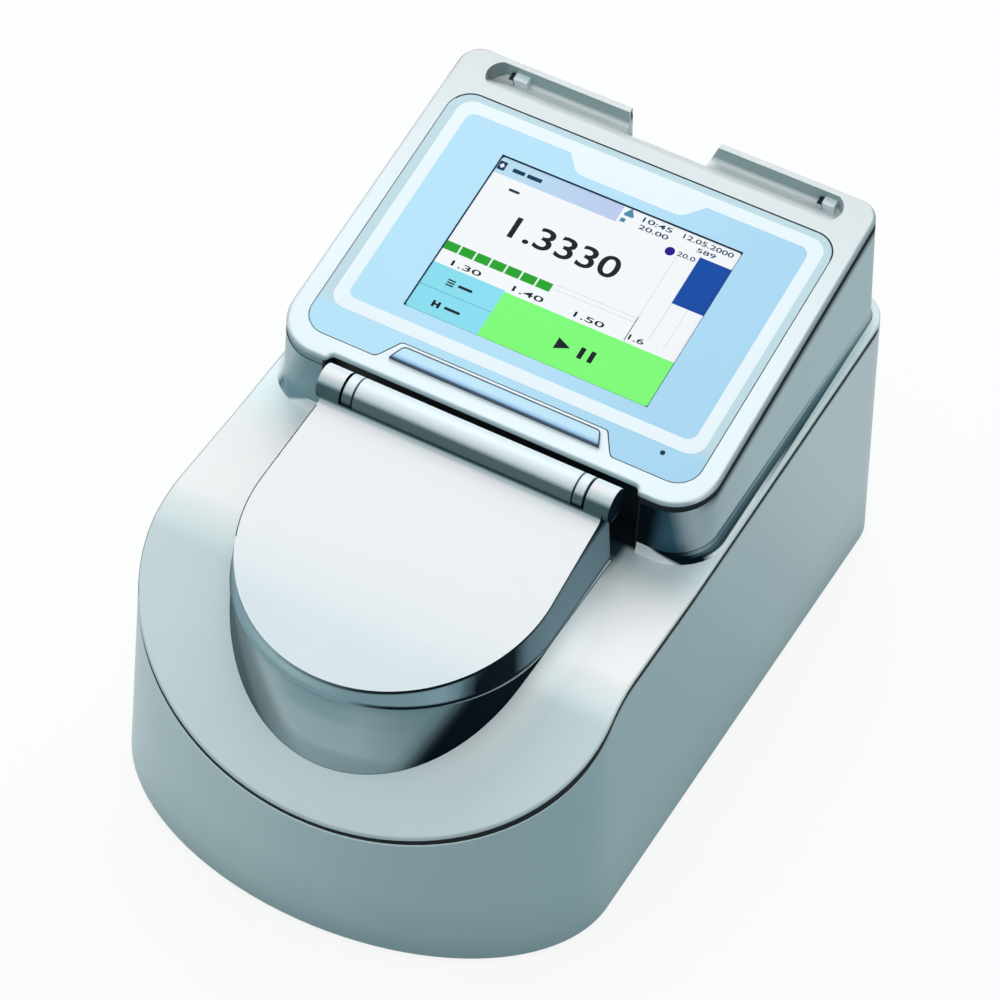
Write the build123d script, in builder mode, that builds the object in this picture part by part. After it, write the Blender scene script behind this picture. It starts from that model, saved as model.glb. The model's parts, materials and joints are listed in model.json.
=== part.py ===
from build123d import *
import math
import os

os.makedirs("parts", exist_ok=True)

# Benchtop refractometer for liquids, in millimetres.
# X to the right, Y to the back, Z up; the origin is on the table, under the middle of the base.

# Base housing
foot_height = 3.0
half_width = 112.8
front_y = -170.0
rear_y = 170.0
nose_depth = 71.7
rear_corner = 25.0
side_draft = 2.75
rear_draft = 3.5
wall = 3.0
loft_top = 150.0

# Deck: front slope, plateau under the lid, gentle rise under the head
deck_thickness = 3.2
lip_height = 1.4
groove_depth = 1.5
groove_bottom = 5.4
groove_bottom_at_nose = 3.2
taper_end_y = -120.0
slope_start_z = 66.0
slope_rise = 0.795
plateau_z = 128.0
rise_start_y = -30.0
rear_rise = 0.04
knee_radius = 36.0
bend_radius = 120.0

# Sample stage
stage_half_width = 69.0
stage_nose = 66.7
stage_centre_y = -83.3
stage_rear_y = -28.0
stage_bottom_z = 74.0
stage_gap = 0.3
dish_y = -85.0
dish_flange_radius = 31.0
dish_body_radius = 25.8
dish_top_z = 129.2
dish_floor_z = 123.6
dish_floor_radius = 12.0
prism_radius = 6.0

# Lid and its hinge
lid_bottom_z = 129.0
lid_tilt = 9.7
lid_plane_y = -70.0
lid_plane_z = 150.8
lid_wall = 3.0
hinge_y = -27.5
hinge_z = 160.0
knuckle_radius = 7.5
knuckle_end = 68.4
knuckle_start = 57.4
collar_end = 56.4
collar_start = 51.7
collar_hub_radius = 5.0
barrel_end = 51.3
end_chamfer = 0.3
shaft_radius = 3.0
shaft_clearance = 0.05

# Head with the display
head_half_width = 101.9
head_front_y = -18.5
head_rear_y = 155.2
head_draft = 0.03
head_tilt = 12.4
face_y = 60.7
face_z = 179.9
cover_skirt = 2.0
face_thickness = 3.0
rim_round = 1.6
notch_y = -15.2
notch_half_width = 73.0
tray_front_v = 72.0
tray_rear_v = 87.5
tray_half_length = 85.4
tray_depth = 8.6
rest_places = [(-74.5, -68.0), (74.3, 79.9)]
rest_front_v = 82.8
rest_drop = 3.5
screen_width = 115.2
screen_height = 86.4
panel_half_width = 91.7
panel_top_v = 66.3
panel_bottom_v = -70.8
panel_corner = 10.8
panel_depth = 0.8

# Rear connections
panel_seat_y = 163.0
panel_z = 36.0
fan_x = 45.0
fan_z = 98.0
fan_seat_y = 158.5
fan_size = 60.0
fan_depth = 15.0
rocker_tilt = 8.0


def tangent(angle):
    return math.tan(math.radians(angle))


def save(builder, name):
    builder.part.label = name
    export_step(builder.part, f"parts/{name}.step")


# Shared outlines


def base_outline(z, inset=0.0):
    """Plan of the base at height z: half ellipse in front, straight sides, round rear corners."""
    rise = z - foot_height
    side = rise * tangent(side_draft) + inset
    half = half_width - side
    nose = nose_depth - side
    corner = rear_corner - side
    nose_y = front_y + nose_depth
    back = rear_y - rise * tangent(rear_draft) - inset
    with BuildSketch(Plane.XY.offset(z)) as outline:
        with BuildLine():
            EllipticalCenterArc((0, nose_y), half, nose, 180, arc_size=180)
            Line((half, nose_y), (half, back - corner))
            CenterArc((half - corner, back - corner), corner, 0, 90)
            Line((half - corner, back), (corner - half, back))
            CenterArc((corner - half, back - corner), corner, 90, 90)
            Line((-half, back - corner), (-half, nose_y))
        make_face()
    return outline.sketch


def base_block(inset):
    """Solid of the base's outer form, or of its inside when it is inset."""
    with BuildPart() as block:
        add(base_outline(foot_height, inset))
        add(base_outline(loft_top, inset))
        loft(ruled=True)
    return block.part


def deck_section(drop, nose_drop):
    """Side section of all that lies under the deck surface, the surface lowered by drop."""
    steep = drop * math.hypot(1, slope_rise)
    gentle = drop * math.hypot(1, rear_rise)
    slope_at_front = slope_start_z - steep
    taper_end_z = slope_at_front + (taper_end_y - front_y) * slope_rise
    knee_y = front_y + (plateau_z - drop - slope_at_front) / slope_rise
    end_y = rear_y + 10
    end_z = plateau_z - gentle + rear_rise * (end_y - rise_start_y)
    start_z = slope_start_z - nose_drop * math.hypot(1, slope_rise) - 10 * slope_rise
    level = plateau_z - drop
    line = [(front_y - 10, start_z), (knee_y, level), (rise_start_y, level), (end_y, end_z)]
    bends = [knee_radius - drop, bend_radius]
    if nose_drop != drop:
        line.insert(1, (taper_end_y, taper_end_z))
        bends.insert(0, bend_radius)
    with BuildSketch(Plane.YZ) as section:
        with BuildLine():
            FilletPolyline(*line, radius=bends)
            Polyline(line[-1], (end_y, foot_height), (front_y - 10, foot_height), line[0])
        make_face()
    return section.sketch


def under_deck(drop, nose_drop=None):
    """All that lies under the lowered deck surface; nose_drop is how far it is lowered at the nose."""
    section = deck_section(drop, drop if nose_drop is None else nose_drop)
    with BuildPart() as block:
        extrude(section, amount=half_width + 10, both=True)
    return block.part


def stage_outline(inset=0.0, rear=stage_rear_y):
    """D-shaped plan of the sample stage."""
    half = stage_half_width - inset
    with BuildSketch() as outline:
        with BuildLine():
            EllipticalCenterArc((0, stage_centre_y), half, stage_nose - inset, 180, arc_size=180)
            Polyline((half, stage_centre_y), (half, rear), (-half, rear), (-half, stage_centre_y))
        make_face()
    return outline.sketch


base_solid = base_block(0)
base_inside = base_block(wall)
deck_solid = under_deck(0)
deck_underside = under_deck(deck_thickness)


def rim_ring(outer, inner):
    """Ring under the deck's lip that follows the rim, thin at the nose and wider along the sides."""
    with BuildPart() as ring:
        add(base_block(outer))
        add(base_block(inner), mode=Mode.SUBTRACT)
        add(under_deck(lip_height), mode=Mode.INTERSECT)
        add(under_deck(groove_bottom, groove_bottom_at_nose), mode=Mode.SUBTRACT)
    return ring.part


rim_groove = rim_ring(-1.0, groove_depth)

# Base housing

boss_places = [(x, y) for x in (-97.0, 97.0) for y in (-60.0, 40.0, 130.0)]
boss_radius = 5.0
pilot_radius = 1.6
plate_thickness = 2.0
plate_top = foot_height + plate_thickness
panel_opening = (164.0, 44.0)
inlet_x = -58.0
switch_x = -24.0
usb_places = [2.0, 20.0]
lan_x = 40.0
serial_x = 64.0

with BuildPart() as wall_bosses:
    with BuildSketch(Plane.XY.offset(plate_top)):
        with Locations(*boss_places):
            Circle(boss_radius)
        for x, y in boss_places:
            with Locations((x * 1.07, y)):
                Rectangle(16, 3)
    extrude(amount=loft_top - plate_top)
    add(base_solid, mode=Mode.INTERSECT)

with BuildPart() as panel_frame:
    with Locations((0, (panel_seat_y + rear_y) / 2, panel_z)):
        Box(panel_opening[0] + 16, rear_y - panel_seat_y, panel_opening[1] + 12)
    with Locations((fan_x, (fan_seat_y + rear_y) / 2, fan_z)):
        Box(fan_size + 6, rear_y - fan_seat_y, fan_size + 6)
    add(base_solid, mode=Mode.INTERSECT)

with BuildPart() as base_shell:
    add(base_solid)
    add(base_inside, mode=Mode.SUBTRACT)
    add(wall_bosses.part)
    add(panel_frame.part)
    add(deck_underside, mode=Mode.INTERSECT)
    with BuildSketch(Plane.XZ.offset(-panel_seat_y + 10)):
        with Locations((0, panel_z)):
            RectangleRounded(*panel_opening, 4)
    extrude(amount=-30, mode=Mode.SUBTRACT)
    # exhaust slots in front of the fan, each as long as the fan's circle is wide there
    with BuildSketch(Plane.XZ.offset(-fan_seat_y + 10)):
        for row in range(-3, 4):
            height = row * 7.2
            length = 2 * math.sqrt(27.5 ** 2 - height ** 2)
            with Locations((fan_x, fan_z + height)):
                SlotOverall(length, 3.6)
    extrude(amount=-30, mode=Mode.SUBTRACT)
    with Locations(*[(x, y, plate_top) for x, y in boss_places]):
        Hole(pilot_radius, depth=24)
    add(rim_groove, mode=Mode.SUBTRACT)
save(base_shell, "base_shell")

with BuildPart() as rim_gasket:
    add(rim_ring(0.5, groove_depth))
save(rim_gasket, "rim_gasket")

foot_places = [(x, y) for x in (-84.0, 84.0) for y in (-98.0, 138.0)]
foot_radius = 10.0

with BuildPart() as bottom_plate:
    with BuildSketch(Plane.XY.offset(foot_height)):
        add(base_outline(foot_height, wall + 0.3).moved(Location((0, 0, -foot_height))))
        with Locations(*boss_places):
            Circle(1.8, mode=Mode.SUBTRACT)
        with GridLocations(9, 0, 9, 1):
            SlotOverall(44, 3.4, rotation=90, mode=Mode.SUBTRACT)
    extrude(amount=plate_thickness)
save(bottom_plate, "bottom_plate")

with BuildPart() as rubber_feet:
    with Locations(*foot_places):
        Cone(foot_radius - 0.8, foot_radius, foot_height, align=(Align.CENTER, Align.CENTER, Align.MIN))
save(rubber_feet, "rubber_feet")

with BuildPart() as plate_screws:
    for x, y in boss_places:
        with Locations((x, y, foot_height)):
            Cylinder(3.0, 1.8, align=(Align.CENTER, Align.CENTER, Align.MAX))
            Cylinder(1.5, 14.0, align=(Align.CENTER, Align.CENTER, Align.MIN))
save(plate_screws, "plate_screws")

# Deck and sample stage

with BuildPart() as deck_cover:
    add(base_solid)
    add(deck_solid, mode=Mode.INTERSECT)
    rim = [e for e in deck_cover.edges() if e.center().Z > slope_start_z - 2]
    rim = [e for e in rim if abs(e.center().X) > 1 or e.length > 60 and abs(e.center().Y) > 120]
    fillet(rim, 1.0)
    add(deck_underside, mode=Mode.SUBTRACT)
    add(rim_groove, mode=Mode.SUBTRACT)
    with BuildSketch(Plane.XY):
        add(stage_outline(-stage_gap, stage_rear_y + stage_gap))
        with Locations((0, 70)):
            RectangleRounded(120, 90, 8)
    extrude(amount=loft_top, mode=Mode.SUBTRACT)
save(deck_cover, "deck_cover")

stage_plate = 3.0
catch_y = -139.0
catch_radius = 5.0
with BuildPart() as stage_housing:
    with BuildSketch(Plane.XY.offset(stage_bottom_z)):
        add(stage_outline())
    extrude(amount=plateau_z - stage_bottom_z)
    fillet(stage_housing.faces().sort_by(Axis.Z)[-1].edges(), 0.8)
    with BuildSketch(Plane.XY.offset(stage_bottom_z)):
        add(stage_outline(wall, stage_rear_y + 1))
    extrude(amount=plateau_z - stage_plate - stage_bottom_z, mode=Mode.SUBTRACT)
    with Locations((0, dish_y, plateau_z)):
        Hole(dish_body_radius + 0.2, depth=stage_plate + 1)
    # round recess for the lid's seal
    with BuildSketch(Plane.XY.offset(plateau_z)):
        with Locations((0, dish_y)):
            Circle(39.0)
            Circle(dish_flange_radius + 2.0, mode=Mode.SUBTRACT)
    extrude(amount=-0.8, mode=Mode.SUBTRACT)
    with Locations((0, catch_y, plateau_z)):
        Hole(catch_radius, depth=1.2)
save(stage_housing, "stage_housing")

with BuildPart() as catch_plate:
    with Locations((0, catch_y, plateau_z - 1.2)):
        Cylinder(catch_radius, 1.2, align=(Align.CENTER, Align.CENTER, Align.MIN))
save(catch_plate, "catch_plate")

with BuildPart() as sample_dish:
    with BuildSketch(Plane.XZ):
        with BuildLine():
            Polyline((prism_radius + 1.5, dish_floor_z), (dish_floor_radius, dish_floor_z))
            ThreePointArc((dish_floor_radius, dish_floor_z), (19.5, 125.3), (24.0, dish_top_z))
            Polyline((24.0, dish_top_z), (dish_flange_radius, dish_top_z),
                     (dish_flange_radius, plateau_z), (dish_body_radius, plateau_z),
                     (dish_body_radius, 121.5), (prism_radius + 1.5, 121.5),
                     (prism_radius + 1.5, dish_floor_z))
        make_face()
    revolve(axis=Axis.Z)
sample_dish.part = sample_dish.part.moved(Location((0, dish_y, 0)))
save(sample_dish, "sample_dish")

with BuildPart() as prism_seal:
    with BuildSketch(Plane.XY.offset(121.5)):
        with Locations((0, dish_y)):
            Circle(prism_radius + 1.5)
            Circle(prism_radius, mode=Mode.SUBTRACT)
    extrude(amount=1.8)
save(prism_seal, "prism_seal")

with BuildPart() as measuring_prism:
    with BuildSketch(Plane.XZ.offset(-dish_y)):
        with Locations((0, 115.75)):
            Trapezoid(26, 11.5, 60)
    extrude(amount=prism_radius, both=True)
    with BuildSketch(Plane.XY.offset(121.5)):
        with Locations((0, dish_y)):
            Circle(prism_radius)
    extrude(amount=dish_floor_z - 121.5)
save(measuring_prism, "measuring_prism")

# Optics under the stage

beam_z = 115.0
block_bottom = 96.0

tube_radius = 9.0
tube_start = 42.0
tube_end = 70.0


def beam_plane(side, distance):
    """Plane square to the light path on one side of the prism."""
    run = distance / math.sqrt(2)
    return Plane(origin=(side * run, dish_y, beam_z - run), x_dir=(0, 1, 0), z_dir=(side, 0, -1))


def beam_circle(side, distance, radius, bore=0.0):
    with BuildSketch(beam_plane(side, distance)) as circle:
        Circle(radius)
        if bore:
            Circle(bore, mode=Mode.SUBTRACT)
    return circle.sketch


with BuildPart() as prism_block:
    with BuildSketch(Plane.XY.offset(block_bottom)):
        with Locations((0, dish_y)):
            Rectangle(50, 44)
    extrude(amount=121.5 - block_bottom)
    with BuildSketch(Plane.XY.offset(109.8)):
        with Locations((0, dish_y)):
            Rectangle(27, 2 * prism_radius + 0.4)
    extrude(amount=20, mode=Mode.SUBTRACT)
    for side in (-1, 1):
        extrude(beam_circle(side, 0, 5), amount=50, mode=Mode.SUBTRACT)
save(prism_block, "prism_block")

with BuildPart() as peltier_modules:
    for x in (-12.5, 12.5):
        with Locations((x, dish_y + 22, 109)):
            Box(24, 3.6, 24, align=(Align.CENTER, Align.MIN, Align.CENTER))
save(peltier_modules, "peltier_modules")

with BuildPart() as heat_sink:
    sink_front = dish_y + 25.6
    with Locations((0, sink_front, 100)):
        Box(64, 5, 42, align=(Align.CENTER, Align.MIN, Align.CENTER))
    with Locations(*[(-31 + 5.636 * i, sink_front + 5, 98) for i in range(12)]):
        Box(1.6, 24, 38, align=(Align.CENTER, Align.MIN, Align.CENTER))
save(heat_sink, "heat_sink")

with BuildPart() as optics_bench:
    bench_bottom = 40.0
    bench_top = 46.0
    with BuildSketch(Plane.XY.offset(bench_bottom)):
        with Locations((0, dish_y)):
            RectangleRounded(156, 60, 6)
    extrude(amount=bench_top - bench_bottom)
    with Locations(*[(x, dish_y + y, plate_top) for x in (-70, 70) for y in (-22, 22)]):
        Cylinder(5, bench_bottom - plate_top, align=(Align.CENTER, Align.CENTER, Align.MIN))
    with Locations(*[(0, dish_y + y, bench_top) for y in (-16, 16)]):
        Cylinder(5, block_bottom - bench_top, align=(Align.CENTER, Align.CENTER, Align.MIN))
    for side in (-1, 1):
        with Locations((side * 40, dish_y, bench_top)):
            Box(20, 24, 40, align=(Align.CENTER, Align.CENTER, Align.MIN))
    for side in (-1, 1):
        extrude(beam_circle(side, 0, tube_radius), amount=tube_end, mode=Mode.SUBTRACT)
        with BuildSketch(beam_plane(side, tube_end)):
            Rectangle(38, 26)
        extrude(amount=20, mode=Mode.SUBTRACT)
save(optics_bench, "optics_bench")

with BuildPart() as lens_tubes:
    for side in (-1, 1):
        extrude(beam_circle(side, tube_start, tube_radius, 7.5), amount=tube_end - tube_start)
save(lens_tubes, "lens_tubes")

with BuildPart() as condenser_lens:
    extrude(beam_circle(-1, 48, 7.5), amount=4)
save(condenser_lens, "condenser_lens")

with BuildPart() as interference_filter:
    extrude(beam_circle(-1, 56, 7.5), amount=3)
save(interference_filter, "interference_filter")

with BuildPart() as objective_lens:
    extrude(beam_circle(1, 46, 7.5), amount=5)
save(objective_lens, "objective_lens")

with BuildPart() as light_source:
    extrude(beam_circle(-1, tube_end, 11), amount=5)
    extrude(beam_circle(-1, tube_end - 6, 2.5), amount=6)
save(light_source, "light_source")

with BuildPart() as sensor_board:
    with BuildSketch(beam_plane(1, tube_end)):
        Rectangle(36, 24)
    extrude(amount=1.6)
    with BuildSketch(beam_plane(1, tube_end - 3)):
        Rectangle(12, 4)
    extrude(amount=3)
save(sensor_board, "sensor_board")

# Electronics in the base

board_z = 22.0
board_centre = (-30.0, 88.0)
board_size = (124.0, 110.0)
spacer_places = [(board_centre[0] + x, board_centre[1] + y) for x in (-56, 56) for y in (-49, 49)]

with BuildPart() as board_spacers:
    with Locations(*[(x, y, plate_top) for x, y in spacer_places]):
        Cylinder(3, board_z - plate_top, align=(Align.CENTER, Align.CENTER, Align.MIN))
save(board_spacers, "board_spacers")

with BuildPart() as main_board:
    with BuildSketch(Plane.XY.offset(board_z)):
        with Locations(board_centre):
            Rectangle(*board_size)
    extrude(amount=1.6)
    for x, y, length, width, height in ((-40, 70, 24, 24, 3), (-66, 108, 20, 14, 5), (-10, 62, 14, 20, 4),
                                        (-62, 50, 16, 10, 9), (4, 100, 12, 26, 8)):
        with Locations((x, y, board_z + 1.6)):
            Box(length, width, height, align=(Align.CENTER, Align.CENTER, Align.MIN))
save(main_board, "main_board")

with BuildPart() as power_supply:
    with Locations((68, 85, plate_top)):
        Box(44, 104, 32, align=(Align.CENTER, Align.CENTER, Align.MIN))
    fillet(power_supply.edges().filter_by(Axis.Y), 2)
    with Locations(*[(90, 85 + 9 * i, 22) for i in range(-4, 5)]):
        Box(4, 3, 16, mode=Mode.SUBTRACT)
save(power_supply, "power_supply")

# Fan

fan_hub_radius = 13.0
fan_bore_radius = 28.0
fan_tip_radius = 26.8
fan_face_y = fan_seat_y - fan_depth


def fan_plane(y):
    """Plane square to the fan's axis, looking to the back."""
    return Plane(origin=(fan_x, y, fan_z), x_dir=(-1, 0, 0), z_dir=(0, 1, 0))


with BuildPart() as fan_frame:
    with BuildSketch(fan_plane(fan_face_y)):
        RectangleRounded(fan_size, fan_size, 4)
        Circle(fan_bore_radius, mode=Mode.SUBTRACT)
        with GridLocations(50, 50, 2, 2):
            Circle(2.2, mode=Mode.SUBTRACT)
    extrude(amount=fan_depth)
    with BuildSketch(fan_plane(fan_face_y)):
        Circle(fan_hub_radius)
        with PolarLocations(0, 4, start_angle=45):
            with Locations((20, 0)):
                Rectangle(22, 3)
        Circle(1.55, mode=Mode.SUBTRACT)
    extrude(amount=2)
save(fan_frame, "fan_frame")

with BuildPart() as fan_screws:
    for x in (-25, 25):
        for z in (-25, 25):
            with BuildSketch(fan_plane(fan_face_y - 2).offset(0)):
                with Locations((x, z)):
                    Circle(3.6)
            extrude(amount=2)
            with BuildSketch(fan_plane(fan_face_y)):
                with Locations((x, z)):
                    Circle(2.0)
            extrude(amount=fan_depth)
save(fan_screws, "fan_screws")

blade_count = 7
with BuildPart() as fan_rotor:
    with BuildSketch(fan_plane(fan_face_y + 2.8)):
        Circle(fan_hub_radius)
    extrude(amount=11)
    fillet(fan_rotor.faces().sort_by(Axis.Y)[-1].edges(), 1.5)
    with BuildSketch(fan_plane(fan_face_y + 0.4)):
        Circle(1.5)
    extrude(amount=2.4)
    for i in range(blade_count):
        turn = math.radians(360 / blade_count * i)
        radial = Vector(math.cos(turn), 0, math.sin(turn))
        across = Vector(-math.sin(turn), 0, math.cos(turn))
        lean = (across * math.cos(math.radians(38)) + Vector(0, 1, 0) * math.sin(math.radians(38)))
        root = Vector(fan_x, fan_face_y + 8.3, fan_z) + radial * (fan_hub_radius - 1)
        blade = Plane(origin=root, x_dir=lean, z_dir=radial)
        with BuildSketch(blade):
            Rectangle(13, 1.2)
        extrude(amount=fan_tip_radius - fan_hub_radius + 0.6)
save(fan_rotor, "fan_rotor")

# Rear connections


def rear_plane(x, y, z=panel_z):
    """Plane facing the back, its own x to the left and y up."""
    return Plane(origin=(x, y, z), x_dir=(-1, 0, 0), z_dir=(0, 1, 0))


with BuildPart() as rear_panel:
    with BuildSketch(rear_plane(0, panel_seat_y - 2)):
        RectangleRounded(panel_opening[0] + 12, panel_opening[1] + 9, 2)
        with Locations((-inlet_x, 0)):
            Rectangle(27.4, 20.4, mode=Mode.SUBTRACT)
        with Locations((-switch_x, 0)):
            Rectangle(13.4, 19.4, mode=Mode.SUBTRACT)
        for x in usb_places:
            with Locations((-x, 0)):
                Rectangle(6.8, 14.2, mode=Mode.SUBTRACT)
        with Locations((-lan_x, 0)):
            Rectangle(16.4, 14.0, mode=Mode.SUBTRACT)
        with Locations((-serial_x, 0)):
            Rectangle(19.4, 10.4, mode=Mode.SUBTRACT)
        with Locations(*[(x, z) for x in (-78, 78) for z in (-18, 18)]):
            Circle(1.6, mode=Mode.SUBTRACT)
    extrude(amount=2)
save(rear_panel, "rear_panel")

with BuildPart() as panel_screws:
    for x in (-78, 78):
        for z in (-18, 18):
            with BuildSketch(rear_plane(0, panel_seat_y)):
                with Locations((x, z)):
                    Circle(2.8)
            extrude(amount=1.8)
            with BuildSketch(rear_plane(0, panel_seat_y - 8)):
                with Locations((x, z)):
                    Circle(1.5)
            extrude(amount=8)
save(panel_screws, "panel_screws")

inlet_depth = 22.0
with BuildPart() as power_inlet:
    with BuildSketch(rear_plane(inlet_x, panel_seat_y - inlet_depth)):
        Rectangle(27, 20)
    extrude(amount=inlet_depth)
    with BuildSketch(rear_plane(inlet_x, panel_seat_y)):
        RectangleRounded(31, 25, 3)
    extrude(amount=2.5)
    with BuildSketch(rear_plane(inlet_x, panel_seat_y + 2.5)):
        with BuildLine():
            Polyline((-12, -8), (12, -8), (12, 4), (8, 8), (-8, 8), (-12, 4), close=True)
        make_face()
    extrude(amount=-17, mode=Mode.SUBTRACT)
    with BuildSketch(rear_plane(inlet_x, panel_seat_y - 14.5)):
        for x, z in ((-7, -2), (0, 2.5), (7, -2)):
            with Locations((x, z)):
                Rectangle(2, 4)
    extrude(amount=12)
save(power_inlet, "power_inlet")

switch_depth = 16.0
with BuildPart() as switch_housing:
    with BuildSketch(rear_plane(switch_x, panel_seat_y - switch_depth)):
        Rectangle(13, 19)
    extrude(amount=switch_depth)
    with BuildSketch(rear_plane(switch_x, panel_seat_y)):
        RectangleRounded(15, 21, 1.5)
    extrude(amount=1.5)
    with BuildSketch(rear_plane(switch_x, panel_seat_y + 1.5)):
        Rectangle(10, 16.4)
    extrude(amount=-10, mode=Mode.SUBTRACT)
    with BuildSketch(Plane.YZ.offset(switch_x)):
        with Locations((panel_seat_y - 2.5, panel_z)):
            Circle(1.25)
    extrude(amount=6.2, both=True, mode=Mode.SUBTRACT)
save(switch_housing, "switch_housing")

rocker_pivot_y = panel_seat_y - 2.5
lean = math.radians(rocker_tilt)
rocker_plane = Plane(origin=(switch_x, rocker_pivot_y, panel_z), x_dir=(0, math.cos(lean), math.sin(lean)),
                     z_dir=(1, 0, 0))
with BuildPart() as power_rocker:
    with BuildSketch(rocker_plane):
        with BuildLine():
            FilletPolyline((-3.5, -3), (4.0, -7.0), (2.9, 0), (4.0, 7.0), (-3.5, 3), radius=0.5, close=True)
        make_face()
    extrude(amount=4.7, both=True)
    with BuildSketch(rocker_plane):
        Circle(1.2)
    extrude(amount=6.1, both=True)
save(power_rocker, "power_rocker")

usb_depth = 14.0
with BuildPart() as usb_ports:
    for x in usb_places:
        with BuildSketch(rear_plane(x, panel_seat_y - usb_depth)):
            Rectangle(6.6, 14.0)
        extrude(amount=usb_depth + 0.8)
        with BuildSketch(rear_plane(x, panel_seat_y + 0.8)):
            Rectangle(5.2, 12.5)
        extrude(amount=-12, mode=Mode.SUBTRACT)
save(usb_ports, "usb_ports")

with BuildPart() as lan_port:
    with BuildSketch(rear_plane(lan_x, panel_seat_y - 16)):
        Rectangle(16, 13.6)
    extrude(amount=16.8)
    with BuildSketch(rear_plane(lan_x, panel_seat_y + 0.8)):
        Rectangle(11.8, 7.4)
        with Locations((0, -4.5)):
            Rectangle(6.2, 2.4)
    extrude(amount=-13, mode=Mode.SUBTRACT)
save(lan_port, "lan_port")

with BuildPart() as serial_port:
    with BuildSketch(rear_plane(serial_x, panel_seat_y)):
        RectangleRounded(31, 12.5, 1.5)
        with Locations((-12.5, 0), (12.5, 0)):
            Circle(1.5, mode=Mode.SUBTRACT)
    extrude(amount=1)
    with BuildSketch(rear_plane(serial_x, panel_seat_y - 8)):
        Rectangle(19, 10)
    extrude(amount=8)
    with BuildSketch(rear_plane(serial_x, panel_seat_y + 1)):
        Trapezoid(17.2, 8.4, 80, rotation=180)
        Trapezoid(16.0, 7.2, 80, rotation=180, mode=Mode.SUBTRACT)
    extrude(amount=4.6)
    with BuildSketch(rear_plane(serial_x, panel_seat_y + 1)):
        with Locations(*[(2.76 * (i - 2), 1.4) for i in range(5)]):
            Circle(0.5)
        with Locations(*[(2.76 * (i - 1.5), -1.4) for i in range(4)]):
            Circle(0.5)
    extrude(amount=4)
save(serial_port, "serial_port")

# Head

pocket_half_width = 75.0
pocket_depth = 11.0
cradle_plate = 1.0
gasket_recess = 0.4
gasket_groove = 1.2
gasket_height = 3.2
band_inset = 2.0
band_front_flare = 4.4
band_rear_flare = 0.8
band_front_share = 0.34
band_top_tuck = 0.6
band_steps = [(-1.5, 1.0, 0), (0.0, 1.0, 0), (0.8, 0.66, 0), (1.9, 0.38, 0), (3.2, 0.18, 0), (5.0, 0.05, 0),
              (5.8, 0.0, band_top_tuck)]
seat_inset = 1.9
lamp_place = (73.5, -59.8)
face_plane = Plane(origin=(0, face_y, face_z), x_dir=(1, 0, 0),
                   z_dir=(0, -math.sin(math.radians(head_tilt)), math.cos(math.radians(head_tilt))))


def rounded_plan(half, front, back, near, far, rear_half=None):
    """Closed outline with its front corners rounded by near and its rear corners by far."""
    rear_half = rear_half or half
    with BuildSketch() as plan:
        with BuildLine():
            Line((near - half, front), (half - near, front))
            CenterArc((half - near, front + near), near, 270, 90)
            Line((half, front + near), (rear_half, back - far))
            CenterArc((rear_half - far, back - far), far, 0, 90)
            Line((rear_half - far, back), (far - rear_half, back))
            CenterArc((far - rear_half, back - far), far, 90, 90)
            Line((-rear_half, back - far), (-half, front + near))
            CenterArc((near - half, front + near), near, 180, 90)
        make_face()
    return plan.sketch


def head_rear(z):
    return head_rear_y - 0.1 * (z - plateau_z - 8)


def head_outline(z, inset=0.0):
    """Plan of the head at height z."""
    half = head_half_width - head_draft * (z - plateau_z) - inset
    plan = rounded_plan(half, head_front_y + inset, head_rear(z) - inset, 20.0 - inset, 10.0 - inset)
    return plan.moved(Location((0, 0, z)))


def head_block(inset):
    """The head's outer form above the deck, or its inside when it is inset."""
    with BuildPart() as block:
        add(head_outline(124, inset))
        add(head_outline(215, inset))
        loft(ruled=True)
        if not inset:
            add(deck_solid, mode=Mode.SUBTRACT)
    return block.part


def face_line(y, drop):
    """Height of the sloping face at a depth y, lowered by drop square to it."""
    return face_z + (y - face_y) * tangent(head_tilt) - drop / math.cos(math.radians(head_tilt))


def side_prism(points, half):
    """Prism along X through a closed outline of (y, z) points."""
    with BuildPart() as prism:
        with BuildSketch(Plane.YZ):
            with BuildLine():
                Polyline(*points, close=True)
            make_face()
        extrude(amount=half, both=True)
    return prism.part


def above_face(drop):
    return side_prism([(-60, face_line(-60, drop)), (200, face_line(200, drop)), (200, 320), (-60, 320)], 130)


def below_face(drop):
    return side_prism([(-60, face_line(-60, drop)), (200, face_line(200, drop)), (200, 100), (-60, 100)], 130)


head_solid = head_block(0)
head_inside = head_block(wall)
window = (screen_width + 1.8, screen_height + 1.8)

# room for the hinge between the head's front corners
with BuildPart() as pocket:
    with Locations((0, head_front_y - 20, 150)):
        Box(2 * pocket_half_width, pocket_depth + 20, 120, align=(Align.CENTER, Align.MIN, Align.CENTER))

with BuildPart() as finger_gap:
    with BuildSketch(Plane.XZ.offset(-100)):
        with BuildLine():
            Polyline((-19.6, 210), (27.6, 210), (19.0, 187), (17.0, 172), (-19.6, 172), close=True)
        make_face()
    extrude(amount=-90)
    add(side_prism([(137.0, 205), (138.0, 195), (142, 187), (149, 181), (156, 176), (190, 172), (190, 215),
                    (137.0, 215)], 60), mode=Mode.INTERSECT)

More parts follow.
